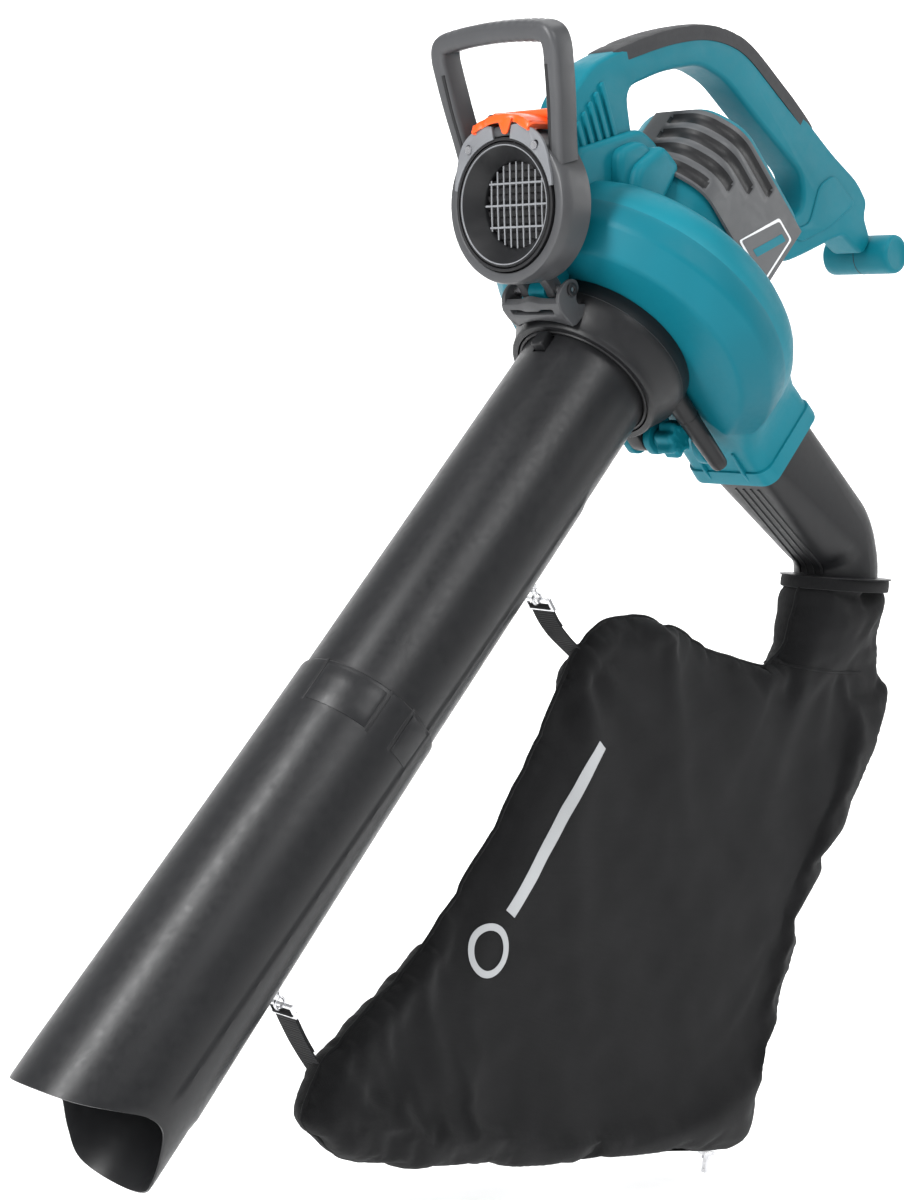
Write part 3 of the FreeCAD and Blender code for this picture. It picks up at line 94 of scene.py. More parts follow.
# ---------------------------------------------------------------- frames
def tool_frame():
    """The fan's axis is the tool frame's t axis, and its joint's point is the origin."""
    spin = JOINTS["fan_spin"]
    along, left = Vector(spin["axis"]), Vector((0, 1, 0))
    turn = Matrix((along, left, along.cross(left))).transposed().to_4x4()
    return Matrix.Translation(spin["pos_m"]) @ turn


TOOL = tool_frame()
LEVEL = Matrix.Translation(TOOL.translation)
COVER = TOOL @ Matrix.Translation((-0.038, 0, 0.181)) @ Matrix.Rotation(math.radians(-43), 4, "Y")
PIPE = TOOL @ Matrix.Translation((-0.1123, 0.025, -0.1896)) @ Matrix.Rotation(math.radians(7.2), 4, "Y")

# Sizes in millimetres.
TUBE_RADIUS = 62
TUBE_WALL = 2.2
JOINT_T = 381
MOUTH_T = 812
LOWER_RADIUS = 64.5
MOUTH_RADIUS = 69
HOUSING_SEAM = -90
HOUSING_BACK = -130
BAG_Y = 18

# Centres, in the tool frame's (t, w), of the cover's hinge, the clamp's bolt and the cable foot.
HINGE = (-19, 97)
CLAMP = (-25, -99.5)
FOOT = (-395, -216)


# ---------------------------------------------------------------- materials
def shader_of(name):
    """A new material with its tree's parts: nodes, links, shader and object coordinates."""
    material = bpy.data.materials.new(name)
    material.use_nodes = True
    nodes, links = material.node_tree.nodes, material.node_tree.links
    where = nodes.new("ShaderNodeTexCoord").outputs["Object"]
    return material, nodes, links, nodes["Principled BSDF"], where


def noise_at(nodes, links, where, scale, detail=3.0, roughness=0.55):
    """A noise texture's value."""
    texture = nodes.new("ShaderNodeTexNoise")
    texture.inputs["Scale"].default_value = scale
    texture.inputs["Detail"].default_value = detail
    texture.inputs["Roughness"].default_value = roughness
    links.new(where, texture.inputs["Vector"])
    return texture.outputs["Fac"]


def spread(nodes, links, value, low, high, from_low=0.3, from_high=0.7):
    """The value's middle range moved to run from low to high."""
    mapped = nodes.new("ShaderNodeMapRange")
    mapped.inputs["From Min"].default_value = from_low
    mapped.inputs["From Max"].default_value = from_high
    mapped.inputs["To Min"].default_value = low
    mapped.inputs["To Max"].default_value = high
    links.new(value, mapped.inputs["Value"])
    return mapped.outputs["Result"]


def blended(nodes, links, share, first, second):
    """A colour between two, each a colour or another node's output."""
    mix = nodes.new("ShaderNodeMix")
    mix.data_type = "RGBA"
    links.new(share, mix.inputs["Factor"])
    for socket, colour in ((mix.inputs["A"], first), (mix.inputs["B"], second)):
        if isinstance(colour, bpy.types.NodeSocket):
            links.new(colour, socket)
        else:
            socket.default_value = (*colour, 1)
    return mix.outputs["Result"]


def bumped(nodes, links, shader, height, strength, distance):
    """Relief on the shader's normal."""
    bump = nodes.new("ShaderNodeBump")
    bump.inputs["Strength"].default_value = strength
    bump.inputs["Distance"].default_value = distance
    links.new(height, bump.inputs["Height"])
    links.new(bump.outputs["Normal"], shader.inputs["Normal"])


def worn_and_highlit_edges(nodes, links, colour, share, amount):
    """Edges painted a little lighter, partly as rubbed wear and partly as a painted highlight, broken up by
    noise.
    """
    pointed = nodes.new("ShaderNodeNewGeometry").outputs["Pointiness"]
    edge = spread(nodes, links, pointed, 0.0, amount, 0.53, 0.62)
    rubbed_and_highlit = nodes.new("ShaderNodeMath")
    rubbed_and_highlit.operation = "MULTIPLY"
    links.new(edge, rubbed_and_highlit.inputs[0])
    links.new(share, rubbed_and_highlit.inputs[1])
    pale = nodes.new("ShaderNodeHueSaturation")
    pale.inputs["Saturation"].default_value = 0.85
    pale.inputs["Value"].default_value = 1.6
    links.new(colour, pale.inputs["Color"])
    return blended(nodes, links, rubbed_and_highlit.outputs[0], colour, pale.outputs["Color"])


def plastic(name, colour, roughness, grain=0.05, grain_scale=1400, coat=0.0, edge_wear_and_highlight=0.25, specular=0.3):
    """Moulded plastic: fine spark-eroded grain, slow flow marks, and edges lightened as light wear and as a
    painted highlight.
    """
    material, nodes, links, shader, where = shader_of(name)
    flow = noise_at(nodes, links, where, 9, 2)
    dust = noise_at(nodes, links, where, 140, 5)
    deep = [0.9 * channel for channel in colour]
    light = [min(1.0, 1.08 * channel + 0.001) for channel in colour]
    base = blended(nodes, links, spread(nodes, links, flow, 0, 1), deep, light)
    # Edges lightened where the surface is pointed: partly rubbed wear, partly a painted edge highlight.
    base = worn_and_highlit_edges(nodes, links, base, spread(nodes, links, dust, 0.4, 1), edge_wear_and_highlight)
    links.new(base, shader.inputs["Base Color"])
    links.new(spread(nodes, links, dust, roughness - 0.05, roughness + 0.06), shader.inputs["Roughness"])
    shader.inputs["Specular IOR Level"].default_value = specular
    if coat:
        shader.inputs["Coat Weight"].default_value = coat
        shader.inputs["Coat Roughness"].default_value = 0.18
    bumped(nodes, links, shader, noise_at(nodes, links, where, grain_scale, 2), grain, 0.0006)
    return material


def steel(name, colour=(0.62, 0.62, 0.64), roughness=0.3):
    """Plated steel with faint tarnish."""
    material, nodes, links, shader, where = shader_of(name)
    tarnish = noise_at(nodes, links, where, 220, 6)
    deep = [0.72 * channel for channel in colour]
    links.new(blended(nodes, links, spread(nodes, links, tarnish, 0, 1), colour, deep),
              shader.inputs["Base Color"])
    shader.inputs["Metallic"].default_value = 1.0
    links.new(spread(nodes, links, tarnish, roughness - 0.08, roughness + 0.12),
              shader.inputs["Roughness"])
    bumped(nodes, links, shader, noise_at(nodes, links, where, 1800, 2), 0.04, 0.0003)
    return material


def woven(name, colour, pitch, sheen=0.35, roughness=0.92, depth=0.0004, slub=0.6):
    """Plain-woven cloth: two sets of crossing threads, slubs, and a soft sheen."""
    material, nodes, links, shader, where = shader_of(name)
    threads = []
    for direction in ("X", "Z"):
        wave = nodes.new("ShaderNodeTexWave")
        wave.wave_type = "BANDS"
        wave.bands_direction = direction
        wave.inputs["Scale"].default_value = 0.314 / pitch
        wave.inputs["Distortion"].default_value = 1.2
        wave.inputs["Detail"].default_value = 2
        wave.inputs["Detail Scale"].default_value = 1.5
        links.new(where, wave.inputs["Vector"])
        threads.append(wave.outputs["Fac"])
    weave = nodes.new("ShaderNodeMath")
    weave.operation = "MAXIMUM"
    links.new(threads[0], weave.inputs[0])
    links.new(threads[1], weave.inputs[1])
    blotch = noise_at(nodes, links, where, 26, 6, 0.65)
    lint = noise_at(nodes, links, where, 700, 3)
    deep = [0.72 * channel for channel in colour]
    light = [1.4 * channel + 0.0012 for channel in colour]
    base = blended(nodes, links, spread(nodes, links, blotch, 0, slub), deep, light)
    base = blended(nodes, links, spread(nodes, links, lint, 0, 0.35, 0.55, 0.8), base, light)
    links.new(base, shader.inputs["Base Color"])
    shader.inputs["Roughness"].default_value = roughness
    shader.inputs["Specular IOR Level"].default_value = 0.25
    shader.inputs["Sheen Weight"].default_value = sheen
    shader.inputs["Sheen Roughness"].default_value = 0.5
    bumped(nodes, links, shader, weave.outputs[0], 0.5, depth)
    return material


TEAL = plastic("teal_plastic", (0.001, 0.150, 0.198), 0.46, 0.06, specular=0.16)
# A darker copy of the teal: painted shade for the volute's front half, which faces away from the light.
SHADED_TEAL = plastic("deep_teal_plastic", (0.001, 0.120, 0.162), 0.46, 0.07, specular=0.16)
TUBE_GREY = plastic("tube_plastic", (0.010, 0.0102, 0.0112), 0.36, 0.09, 1100, edge_wear_and_highlight=0.4)
HOOD_GREY = plastic("hood_plastic", (0.009, 0.0092, 0.0102), 0.4, 0.09, 1100, edge_wear_and_highlight=0.4)
BLACK = plastic("black_plastic", (0.010, 0.010, 0.011), 0.42, 0.06)
RUBBER = plastic("soft_grip", (0.028, 0.0285, 0.031), 0.62, 0.3, 900, edge_wear_and_highlight=0.2, specular=0.35)
MID_GREY = plastic("mid_grey_plastic", (0.052, 0.053, 0.056), 0.36, 0.08, 1200, edge_wear_and_highlight=0.5)
PALE_GREY = plastic("pale_grey_plastic", (0.15, 0.155, 0.165), 0.38, 0.05)
PANEL_GREY = plastic("panel_plastic", (0.075, 0.077, 0.081), 0.4, 0.07)
ORANGE = plastic("orange_plastic", (0.72, 0.075, 0.006), 0.34, 0.04, coat=0.15)
GRILLE = plastic("grille_plastic", (0.17, 0.175, 0.185), 0.34, 0.03)
WHITE = plastic("label_white", (0.75, 0.76, 0.77), 0.35, 0.02, edge_wear_and_highlight=0.0)
ZINC = steel("zinc_plate")
NICKEL = steel("nickel_plate", (0.72, 0.72, 0.74), 0.2)
LAMINATION = steel("lamination_steel", (0.3, 0.3, 0.32), 0.42)
COPPER = steel("copper_wire", (0.72, 0.32, 0.16), 0.35)
CARBON = plastic("brush_carbon", (0.03, 0.03, 0.032), 0.7, 0.3, 700, edge_wear_and_highlight=0)
BAG_CLOTH = woven("bag_cloth", (0.0050, 0.0051, 0.0057), 0.0011, sheen=0.06)
WEBBING = woven("webbing", (0.007, 0.007, 0.008), 0.0018, sheen=0.1, depth=0.0007)
PRINT = plastic("bag_print", (0.42, 0.43, 0.44), 0.7, 0.25, 900, edge_wear_and_highlight=0, specular=0.2)
ZIP_TAPE = woven("zip_tape", (0.010, 0.010, 0.011), 0.0014, sheen=0.1, depth=0.0005)


# ---------------------------------------------------------------- mesh building
def mesh_of(name, shape, place):
    """A closed mesh from vertices in millimetres in one frame, and faces."""
    verts, faces = shape
    mesh = bpy.data.meshes.new(name)
    mesh.from_pydata([place @ (Vector(v) * MM) for v in verts], [], faces)
    mesh.validate()
    outward(mesh)
    return mesh


def add_piece(name, shape, material, replaces=(), place=TOOL, body="tool", sharp=35):
    """A smooth-shaded piece riding on a body, with its material."""
    mesh = mesh_of(name, shape, place)
    piece = bpy.data.objects.new(name, mesh)
    bpy.context.scene.collection.objects.link(piece)
    mesh.materials.append(material)
    soften(mesh, sharp)
    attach(piece, body)
    if replaces:
        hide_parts(*replaces)
    return piece


def outward(mesh):
    """Turn all faces the same way, out of the shape."""
    work = bmesh.new()
    work.from_mesh(mesh)
    bmesh.ops.remove_doubles(work, verts=work.verts, dist=1e-6)
    bmesh.ops.recalc_face_normals(work, faces=work.faces)
    work.to_mesh(mesh)
    work.free()


def soften(mesh, sharp):
    """Smooth shading, broken where faces meet at more than the angle."""
    mesh.shade_smooth()
    mesh.set_sharp_from_angle(angle=math.radians(sharp))


def applied(piece, sharp=35):
    """The piece with its modifiers made part of its mesh."""
    shape = piece.evaluated_get(bpy.context.evaluated_depsgraph_get())
    mesh = bpy.data.meshes.new_from_object(shape)
    old = piece.data
    piece.modifiers.clear()
    piece.data = mesh
    bpy.data.meshes.remove(old)
    soften(mesh, sharp)
    return piece


def bevelled(piece, width, segments=3, angle=30, sharp=35):
    """Rounded edges, so that the light catches them."""
    bevel = piece.modifiers.new("bevel", "BEVEL")
    bevel.width = width * MM
    bevel.segments = segments
    bevel.limit_method = "ANGLE"
    bevel.angle_limit = math.radians(angle)
    bevel.harden_normals = False
    return applied(piece, sharp)


def carved(piece, shape, place=TOOL, sharp=35):
    """The piece with a closed shape cut out of it."""
    cutter = bpy.data.objects.new("cutter", mesh_of("cutter", shape, place))
    bpy.context.scene.collection.objects.link(cutter)
    cut = piece.modifiers.new("cut", "BOOLEAN")
    cut.operation = "DIFFERENCE"
    cut.solver = "EXACT"
    cut.object = cutter
    bpy.context.view_layer.update()
    applied(piece, sharp)
    bpy.data.objects.remove(cutter)
    return piece


def turns(count):
    """Angles evenly spaced round one turn."""
    return [2 * math.pi * k / count for k in range(count)]


def disc(centre, y, radius, steps):
    """A circle about a line along y through a (t, w) point."""
    t, w = centre
    return [(t + radius * math.cos(a), y, w + radius * math.sin(a)) for a in turns(steps)]


def rings_mesh(rings, closed=False):
    """Vertices and faces of a skin over closed rings of equal length."""
    size = len(rings[0])
    verts = [point for ring in rings for point in ring]
    faces = []
    last = len(rings) if closed else len(rings) - 1
    for i in range(last):
        a, b = i * size, ((i + 1) % len(rings)) * size
        for j in range(size):
            k = (j + 1) % size
            faces.append((a + j, a + k, b + k, b + j))
    if not closed:
        faces.append(tuple(range(size))[::-1])
        faces.append(tuple(range(len(verts) - size, len(verts))))
    return verts, faces


def revolved(profile, steps=96):
    """Rings of a closed profile of (t, r) points turned about the t axis."""
    rings = []
    for i in range(steps):
        angle = math.radians(360.0 * i / steps)
        rings.append([(t, r * math.cos(angle), r * math.sin(angle)) for t, r in profile])
    return rings_mesh(rings, closed=True)


def prism(outline, low, high):
    """A closed outline of (t, w) points between two distances along y."""
    size = len(outline)
    verts = [(t, low, w) for t, w in outline] + [(t, high, w) for t, w in outline]
    faces = [tuple(range(size)), tuple(range(2 * size - 1, size - 1, -1))]
    faces += [(i, (i + 1) % size, size + (i + 1) % size, size + i) for i in range(size)]
    return verts, faces


def facing(outline, low, high):
    """A closed outline of (y, w) points between two distances along t."""
    verts, faces = prism(outline, low, high)
    return [(y, t, w) for t, y, w in verts], faces


def rounded(points, radius, steps=4, closed=True):
    """The polygon with each corner turned into a short arc-like curve."""
    result = []
    count = len(points)
    for i, point in enumerate(points):
        if not closed and i in (0, count - 1):
            result.append(tuple(point))
            continue
        here = Vector(point)
        before, after = Vector(points[i - 1]), Vector(points[(i + 1) % count])
        reach = min(radius, 0.45 * (before - here).length, 0.45 * (after - here).length)
        start = here + (before - here).normalized() * reach
        end = here + (after - here).normalized() * reach
        for k in range(steps + 1):
            share = k / steps
            result.append(tuple((1 - share) ** 2 * start + 2 * share * (1 - share) * here
                                + share ** 2 * end))
    return result


def curve_through(points, steps=6):
    """A smooth line through the points (Catmull and Rom's)."""
    points = [Vector(p) for p in points]
    count = len(points)
    result = []
    for i in range(count - 1):
        p0, p3 = points[max(i - 1, 0)], points[min(i + 2, count - 1)]
        p1, p2 = points[i], points[i + 1]
        for k in range(steps):
            s = k / steps
            result.append(0.5 * (2 * p1 + (p2 - p0) * s + (2 * p0 - 5 * p1 + 4 * p2 - p3) * s ** 2
                                 + (3 * p1 - 3 * p2 + p3 - p0) * s ** 3))
    return result + [points[-1]]


def oblong(half_a, half_b, corner, steps=5):
    """A rectangle with round corners, as (a, b) points."""
    corner = min(corner, half_a - 0.01, half_b - 0.01)
    points = []
    for quarter, (sa, sb) in enumerate(((1, 1), (-1, 1), (-1, -1), (1, -1))):
        for k in range(steps + 1):
            angle = math.pi / 2 * (quarter + k / steps)
            points.append((sa * (half_a - corner) + corner * math.cos(angle),
                           sb * (half_b - corner) + corner * math.sin(angle)))
    return points


def swept(path, sections, side=(0, 1, 0)):
    """Rings of 2-D sections carried along a path. A section's first axis lies along side."""
    path = [Vector(p) for p in path]
    side = Vector(side)
    rings = []
    for i, point in enumerate(path):
        along = (path[min(i + 1, len(path) - 1)] - path[max(i - 1, 0)]).normalized()
        a = (side - along * side.dot(along)).normalized()
        b = along.cross(a)
        section = sections(i / (len(path) - 1)) if callable(sections) else sections
        rings.append([tuple(point + a * u + b * v) for u, v in section])
    return rings


def merged(shapes):
    """Several vertex and face lists as one."""
    verts, faces = [], []
    for some_verts, some_faces in shapes:
        shift = len(verts)
        verts += some_verts
        faces += [tuple(i + shift for i in face) for face in some_faces]
    return verts, faces


def rod(start, end, radius, steps=24):
    """A round bar between two points, with slightly rounded ends."""
    start, end = Vector(start), Vector(end)
    along = (end - start).normalized()
    side = along.orthogonal().normalized()
    other = along.cross(side)
    edge = min(0.8, radius / 3)
    stations = [(start, radius - edge), (start + along * edge, radius),
                (end - along * edge, radius), (end, radius - edge)]
    return rings_mesh([[tuple(p + side * (r * math.cos(a)) + other * (r * math.sin(a)))
                        for a in turns(steps)] for p, r in stations])


# ---------------------------------------------------------------- tubes
def panel_lift(t, angle):
    """How far the long shallow panel on the tube's left side stands out, in millimetres."""
    low = math.radians(30 - 0.0435 * (t - 100))
    high = math.radians(76)
    start, end = 105, MOUTH_T - 60
    inside = min((angle - low) * TUBE_RADIUS, (high - angle) * TUBE_RADIUS, (t - start) * 0.35,
                 (end - t) * 0.5)
    return 1.6 * max(0.0, min(1.0, inside / 3))


def tube_rings(stations):
    """Closed wall rings for a tube: stations are (t, outer radius, inner radius, slanted end)."""
    rings = []
    for t, outer, inner, slanted in stations:
        out_ring, in_ring = [], []
        for angle in turns(192):
            y, w = math.cos(angle), math.sin(angle)
            end = mouth_edge(outer * w) if slanted else t
            lifted = outer + (panel_lift(t, math.atan2(-w, y)) if t > 20 else 0)
            out_ring.append((end, lifted * y, lifted * w))
            in_ring.append((end, inner * y, inner * w))
        rings.append((out_ring, in_ring))
    return rings


# How far short of the mouth's tip the scooped edge ends, as (height above the axis, t).
MOUTH_EDGE = [(80, -8), (56, -16), (30, -29), (7, -39), (-14, -38), (-34, -20), (-52, -5), (-80, -1)]
MOUTH_LINE = [(p.x, p.y) for p in curve_through(MOUTH_EDGE, 8)]


def mouth_edge(w):
    """Where the scooped mouth ends at a height above the axis."""
    for (w1, t1), (w2, t2) in zip(MOUTH_LINE, MOUTH_LINE[1:]):
        if w >= w2:
            return MOUTH_T + t1 + (t2 - t1) * (w1 - w) / (w1 - w2)
    return MOUTH_T + MOUTH_LINE[-1][1]


def tube_wall(rings):
    """Out along the outer rings and back along the inner ones, as one closed skin."""
    loop = [outer for outer, _ in rings] + [inner for _, inner in reversed(rings)]
    return rings_mesh(loop, closed=True)


def build_lug(name, t, root):
    """The flat eye under a tube that a bag clip hooks into."""
    outline = rounded([(t - 11, root + 3), (t - 7.5, root - 9), (t - 5, root - 15.5),
                       (t + 5, root - 15.5), (t + 7.5, root - 9), (t + 11, root + 3)], 5)
    eye = [(t + 4 * math.cos(a), root - 9 + 4 * math.sin(a)) for a in turns(24)]
    lug = add_piece(name, prism(outline, -2, 2), TUBE_GREY)
    bevelled(carved(lug, prism(eye, -5, 5)), 0.5, 2)


def build_upper_tube():
    """The upper tube, with the slot that its lock button stands in."""
    inner = TUBE_RADIUS - TUBE_WALL
    ends = [(-21.5, 61.3, inner, False), (-20.5, 61.8, inner, False)]
    body = [(t, TUBE_RADIUS, inner, False) for t in range(-18, 392, 6)]
    tail = [(393.5, 61.8, inner, False), (394.8, 61.2, inner, False)]
    tube = add_piece("upper_tube_shell", tube_wall(tube_rings(ends + body + tail)), TUBE_GREY,
                     ["upper_tube"], sharp=24)
    slot = rounded([(-7.5, 50), (7.5, 50), (7.5, 80), (-7.5, 80)], 2)
    carved(tube, facing(slot, 3, 22.5), sharp=24)
    build_lug("upper_tube_lug", 175, -TUBE_RADIUS)


def build_lower_tube():
    """The lower tube: a socket, a slow taper and the scooped mouth."""
    socket = TUBE_RADIUS + 0.2
    stations = [(JOINT_T, 63.6, socket, False), (JOINT_T + 0.8, 64.3, socket, False)]
    for i in range(70):
        share = i / 69
        t = JOINT_T + 2 + (MOUTH_T - 54 - JOINT_T) * share
        outer = LOWER_RADIUS + (MOUTH_RADIUS - LOWER_RADIUS) * share ** 1.4
        stations.append((t, outer, socket if t < 396 else outer - TUBE_WALL, False))
    rings = tube_rings(stations)
    last_out, last_in = rings[-1]
    for share in (0.3, 0.6, 0.9, 1.0):
        for_out, for_in = [], []
        flare = MOUTH_RADIUS / math.hypot(last_out[0][1], last_out[0][2])
        for a, b in zip(last_out, last_in):
            end = mouth_edge(a[2])
            rim = (0.35 if share == 1.0 else 0.0) / MOUTH_RADIUS
            grow = 1 + (flare - 1) * share - rim
            for_out.append((a[0] + (end - a[0]) * share, a[1] * grow, a[2] * grow))
            for_in.append((b[0] + (end - b[0]) * share, b[1] * (1 + rim), b[2] * (1 + rim)))
        rings.append((for_out, for_in))
    add_piece("lower_tube_shell", tube_wall(rings), TUBE_GREY, ["lower_tube"], sharp=24)
    build_lug("lower_tube_lug", 609, -LOWER_RADIUS - 2)


def shell_patch(name, t_low, t_high, angle_low, angle_high, radius, thick, material, steps=14):
    """A thin raised patch on a round tube, between two angles from the tool's left, up to w."""
    verts, faces = [], []
    rows, columns = 3, steps
    for r in (radius, radius + thick):
        for i in range(rows + 1):
            t = t_low + (t_high - t_low) * i / rows
            for j in range(columns + 1):
                angle = math.radians(angle_low + (angle_high - angle_low) * j / columns)
                verts.append((t, r * math.cos(angle), r * math.sin(angle)))
    size = columns + 1
    layer = (rows + 1) * size
    for i in range(rows):
        for j in range(columns):
            a = i * size + j
            faces.append((a, a + size, a + size + 1, a + 1))
            faces.append((layer + a, layer + a + 1, layer + a + size + 1, layer + a + size))
    rim = [j for j in range(size)] + [i * size + columns for i in range(1, rows + 1)]
    rim += [rows * size + j for j in range(columns - 1, -1, -1)] + [i * size for i in range(rows - 1, 0, -1)]
    for a, b in zip(rim, rim[1:] + rim[:1]):
        faces.append((a, b, layer + b, layer + a))
    bevelled(add_piece(name, (verts, faces), material), 0.5, 2)


def build_snap_tabs():
    """The sprung tongues of the tubes' snap joint, with the slits that free them."""
    radius = LOWER_RADIUS - 0.3
    for name, angle in (("front_snap", 57), ("left_snap", -22)):
        shell_patch(name + "_tongue", JOINT_T + 4, JOINT_T + 40, angle - 26, angle + 26, radius, 1.1,
                    TUBE_GREY)
        for side in (-28.5, 28.5):
            shell_patch("%s_slit_%s" % (name, "low" if side < 0 else "high"), JOINT_T - 1, JOINT_T + 42,
                        angle + side - 1.3, angle + side + 1.3, radius - 0.2, 0.95, BLACK,
                        3)
    seam = [(JOINT_T - 3.2, TUBE_RADIUS - 0.5), (JOINT_T - 3.2, TUBE_RADIUS + 0.15),
            (JOINT_T + 0.4, TUBE_RADIUS + 0.15), (JOINT_T + 0.4, TUBE_RADIUS - 0.5)]
    add_piece("joint_shadow_ring", revolved(seam, 128), BLACK)


# ---------------------------------------------------------------- suction hood
def bolt_hole(centre, radius):
    """A bar along y through a (t, w) point, long enough to cut any ear on that bolt."""
    return rod((centre[0], -30, centre[1]), (centre[0], 30, centre[1]), radius)


def build_hood():
    """The suction hood with its gasket, step and clamp ear."""
    profile = [(-46.5, 84.2), (-38, 85.6), (-28, 84.6), (-18, 80.5), (-9, 76.2), (-4, 74.4)]
    outside = [tuple(p) for p in curve_through(profile, 4)]
    lip = [(-2.5, 74.0), (0.5, 73.4), (1.8, 72.2), (2, 70.5), (1.6, 67.2)]
    inside = [(-6.5, 66.2), (-7, 62.4), (-21, 62.4), (-22, 60.5), (-46.5, 60.5)]
    add_piece("suction_hood_shell", revolved(outside + lip + inside, 128), HOOD_GREY, ["suction_hood"],
              sharp=32)
    gasket = [(-6.4, 62.3), (0.6, 62.3), (1.9, 63.6), (1.9, 65.2), (0.8, 66.0), (-6.4, 66.0)]
    add_piece("hood_gasket_ring", revolved(gasket, 128), BLACK, ["hood_gasket"])
    ridge = [(-33.2, 84.2), (-33.2, 85.6), (-31.8, 85.6), (-30.8, 84.2)]
    add_piece("hood_step", revolved(ridge, 128), HOOD_GREY)
    lug = rounded([(-35, -108.3), (-15, -108.3), (-10, -99), (-12, -74), (-38, -78), (-40, -99)], 8)
    ear = add_piece("hood_clamp_ear", prism(lug, -7.9, 7.9), HOOD_GREY)
    bevelled(carved(ear, bolt_hole(CLAMP, 4.1)), 1.2, 3)


def build_hood_arm():
    """The tapered horn beside the hood that runs down to the outlet."""
    top, foot = Vector((-35.4, 55, -52)), Vector((-35.4, 57.8, -147))
    sections = [(0.0, 10.9), (0.08, 10.7), (0.5, 9.3), (0.9, 8.2), (0.965, 7.9), (0.99, 6.9), (1.0, 4.6)]
    rings = []
    for share, radius in sections:
        centre = top.lerp(foot, share)
        rings.append([(centre.x + radius * math.cos(a), centre.y + radius * math.sin(a), centre.z)
                      for a in turns(40)])
    add_piece("hood_horn", rings_mesh(rings), HOOD_GREY, ["hood_arm"])
    rings = [[(-35.4 + radius * math.cos(a), 55.6 + radius * math.sin(a), w) for a in turns(40)]
             for w, radius in ((-80.5, 1.03 * 10.2), (-79.7, 10.2))]
    add_piece("horn_collar", rings_mesh(rings), HOOD_GREY)


def build_tube_button():
    """The lock button that stands up through the upper tube's slot."""
    outline = rounded([(4, -6.8), (20.5, -6.8), (21.5, 0), (20.5, 6.8), (4, 6.8)], 2.2)
    rings = []
    for w, grow in ((56.5, 0.98), (67, 1.0), (69, 0.97), (69.9, 0.88)):
        rings.append([(12 + (t - 12) * grow, y * grow, w) for t, y in outline])
    button = add_piece("tube_button_cap", rings_mesh(rings), HOOD_GREY, ["tube_button"], body="tube_lock")
    bevelled(button, 0.5, 2)


# ---------------------------------------------------------------- fan housing
def spiral_radius(angle):
    """The volute's radius, growing round the wheel from the tongue to the neck."""
    turn = (math.pi - angle) / math.pi
    return 126 + 32 * min(turn, 1) + 9 * max(0, turn - 1)


def volute_ring(angle, profile):
    """The section at one angle round the wheel; deep points end on the bore."""
    radius = spiral_radius(angle)
    ring = []
    for t, inset in profile:
        r = radius - inset if inset < 60 else 62
        ring.append((t, r * math.cos(angle), r * math.sin(angle)))
    return ring


def volute_profile(front):
    """Half of the volute's section as (t, distance inside the spiral) points."""
    if front:
        outer = [(HOUSING_SEAM, 0.4), (-86, 0), (-72, 0.6), (-67, 1.8), (-65, 3.4), (-51.2, 18.6),
                 (-49.0, 20.6), (-47.5, 23.4), (-47, 27), (-47, 45)]
        return outer + [(-47, 99), (-50, 99), (-50, 30), (-60, 12), (-70, 5), (HOUSING_SEAM, 4)]
    outer = [(HOUSING_SEAM, 0.4), (-97, 0), (-108, 1.5), (-118, 6), (-125, 13), (-129.4, 22)]
    return outer + [(HOUSING_BACK, 34), (HOUSING_BACK, 99), (-127, 99), (-127, 34), (-118, 12),
                    (-106, 5), (HOUSING_SEAM, 4)]


def build_volute():
    """The two halves of the snail-shaped housing, without the outlet; the front half is painted darker as
    shade.
    """
    low, high = math.radians(-58), math.radians(262)
    steps = 150

    def skin(profile):
        """A section carried round the spiral."""
        return rings_mesh([volute_ring(low + (high - low) * i / steps, profile) for i in range(steps + 1)])
    # The front half takes the darker teal: painted shade on the same plastic as the rear half.
    add_piece("volute_front", skin(volute_profile(True)), SHADED_TEAL, ["fan_housing_front"], sharp=28)
    add_piece("volute_rear", skin(volute_profile(False)), TEAL, ["fan_housing_rear"], sharp=28)
    front, back = HOUSING_SEAM + 0.5, HOUSING_SEAM - 0.5
    groove = skin([(back, 0.9), (front, 0.9), (front, 3), (back, 3)])
    add_piece("volute_seam", groove, BLACK)


def build_outlet():
    """The throat that leads from the volute down to the pipe's collar."""
    def section(centre_t, centre_y, w, half_t, half_y, corner):
        """A level oblong section at a height."""
        return [(centre_t + a, centre_y + b, w) for a, b in oblong(half_t, half_y, corner, 6)]
    outside = [section(-90, 26, -40, 40, 112, 30), section(-92, 34, -75, 41, 96, 28),
               section(-97, 34, -105, 43, 78, 24), section(-106, 29, -135, 46, 60, 20),
               section(-111, 25.5, -158, 47.5, 50, 17), section(-112, 25, -172, 48, 48.4, 15),
               section(-112, 25, -186, 48, 48, 14), section(-112, 25, -203, 48, 48, 14)]
    inside = [section(-112, 25, w, 44.5, 44.5, 12) for w in (-203.5, -170)]
    add_piece("outlet_throat", rings_mesh(outside + inside), TEAL, sharp=30)
    lip = [section(-112, 25, w, 48 + g, 48 + g, 14) for w, g in
           ((-186, 0), (-187, 1.8), (-201, 2.2), (-204, 1.8), (-204, -3))]
    add_piece("outlet_lip", rings_mesh(lip), TEAL)
    for k, y in enumerate((2, 48)):
        rib = rounded([(-66, -204), (-62.6, -204), (-60.5, -186), (-62, -160), (-66, -160)], 2)
        bevelled(add_piece("outlet_rib_%d" % k, prism(rib, y - 1.6, y + 1.6), TEAL), 0.6, 2)


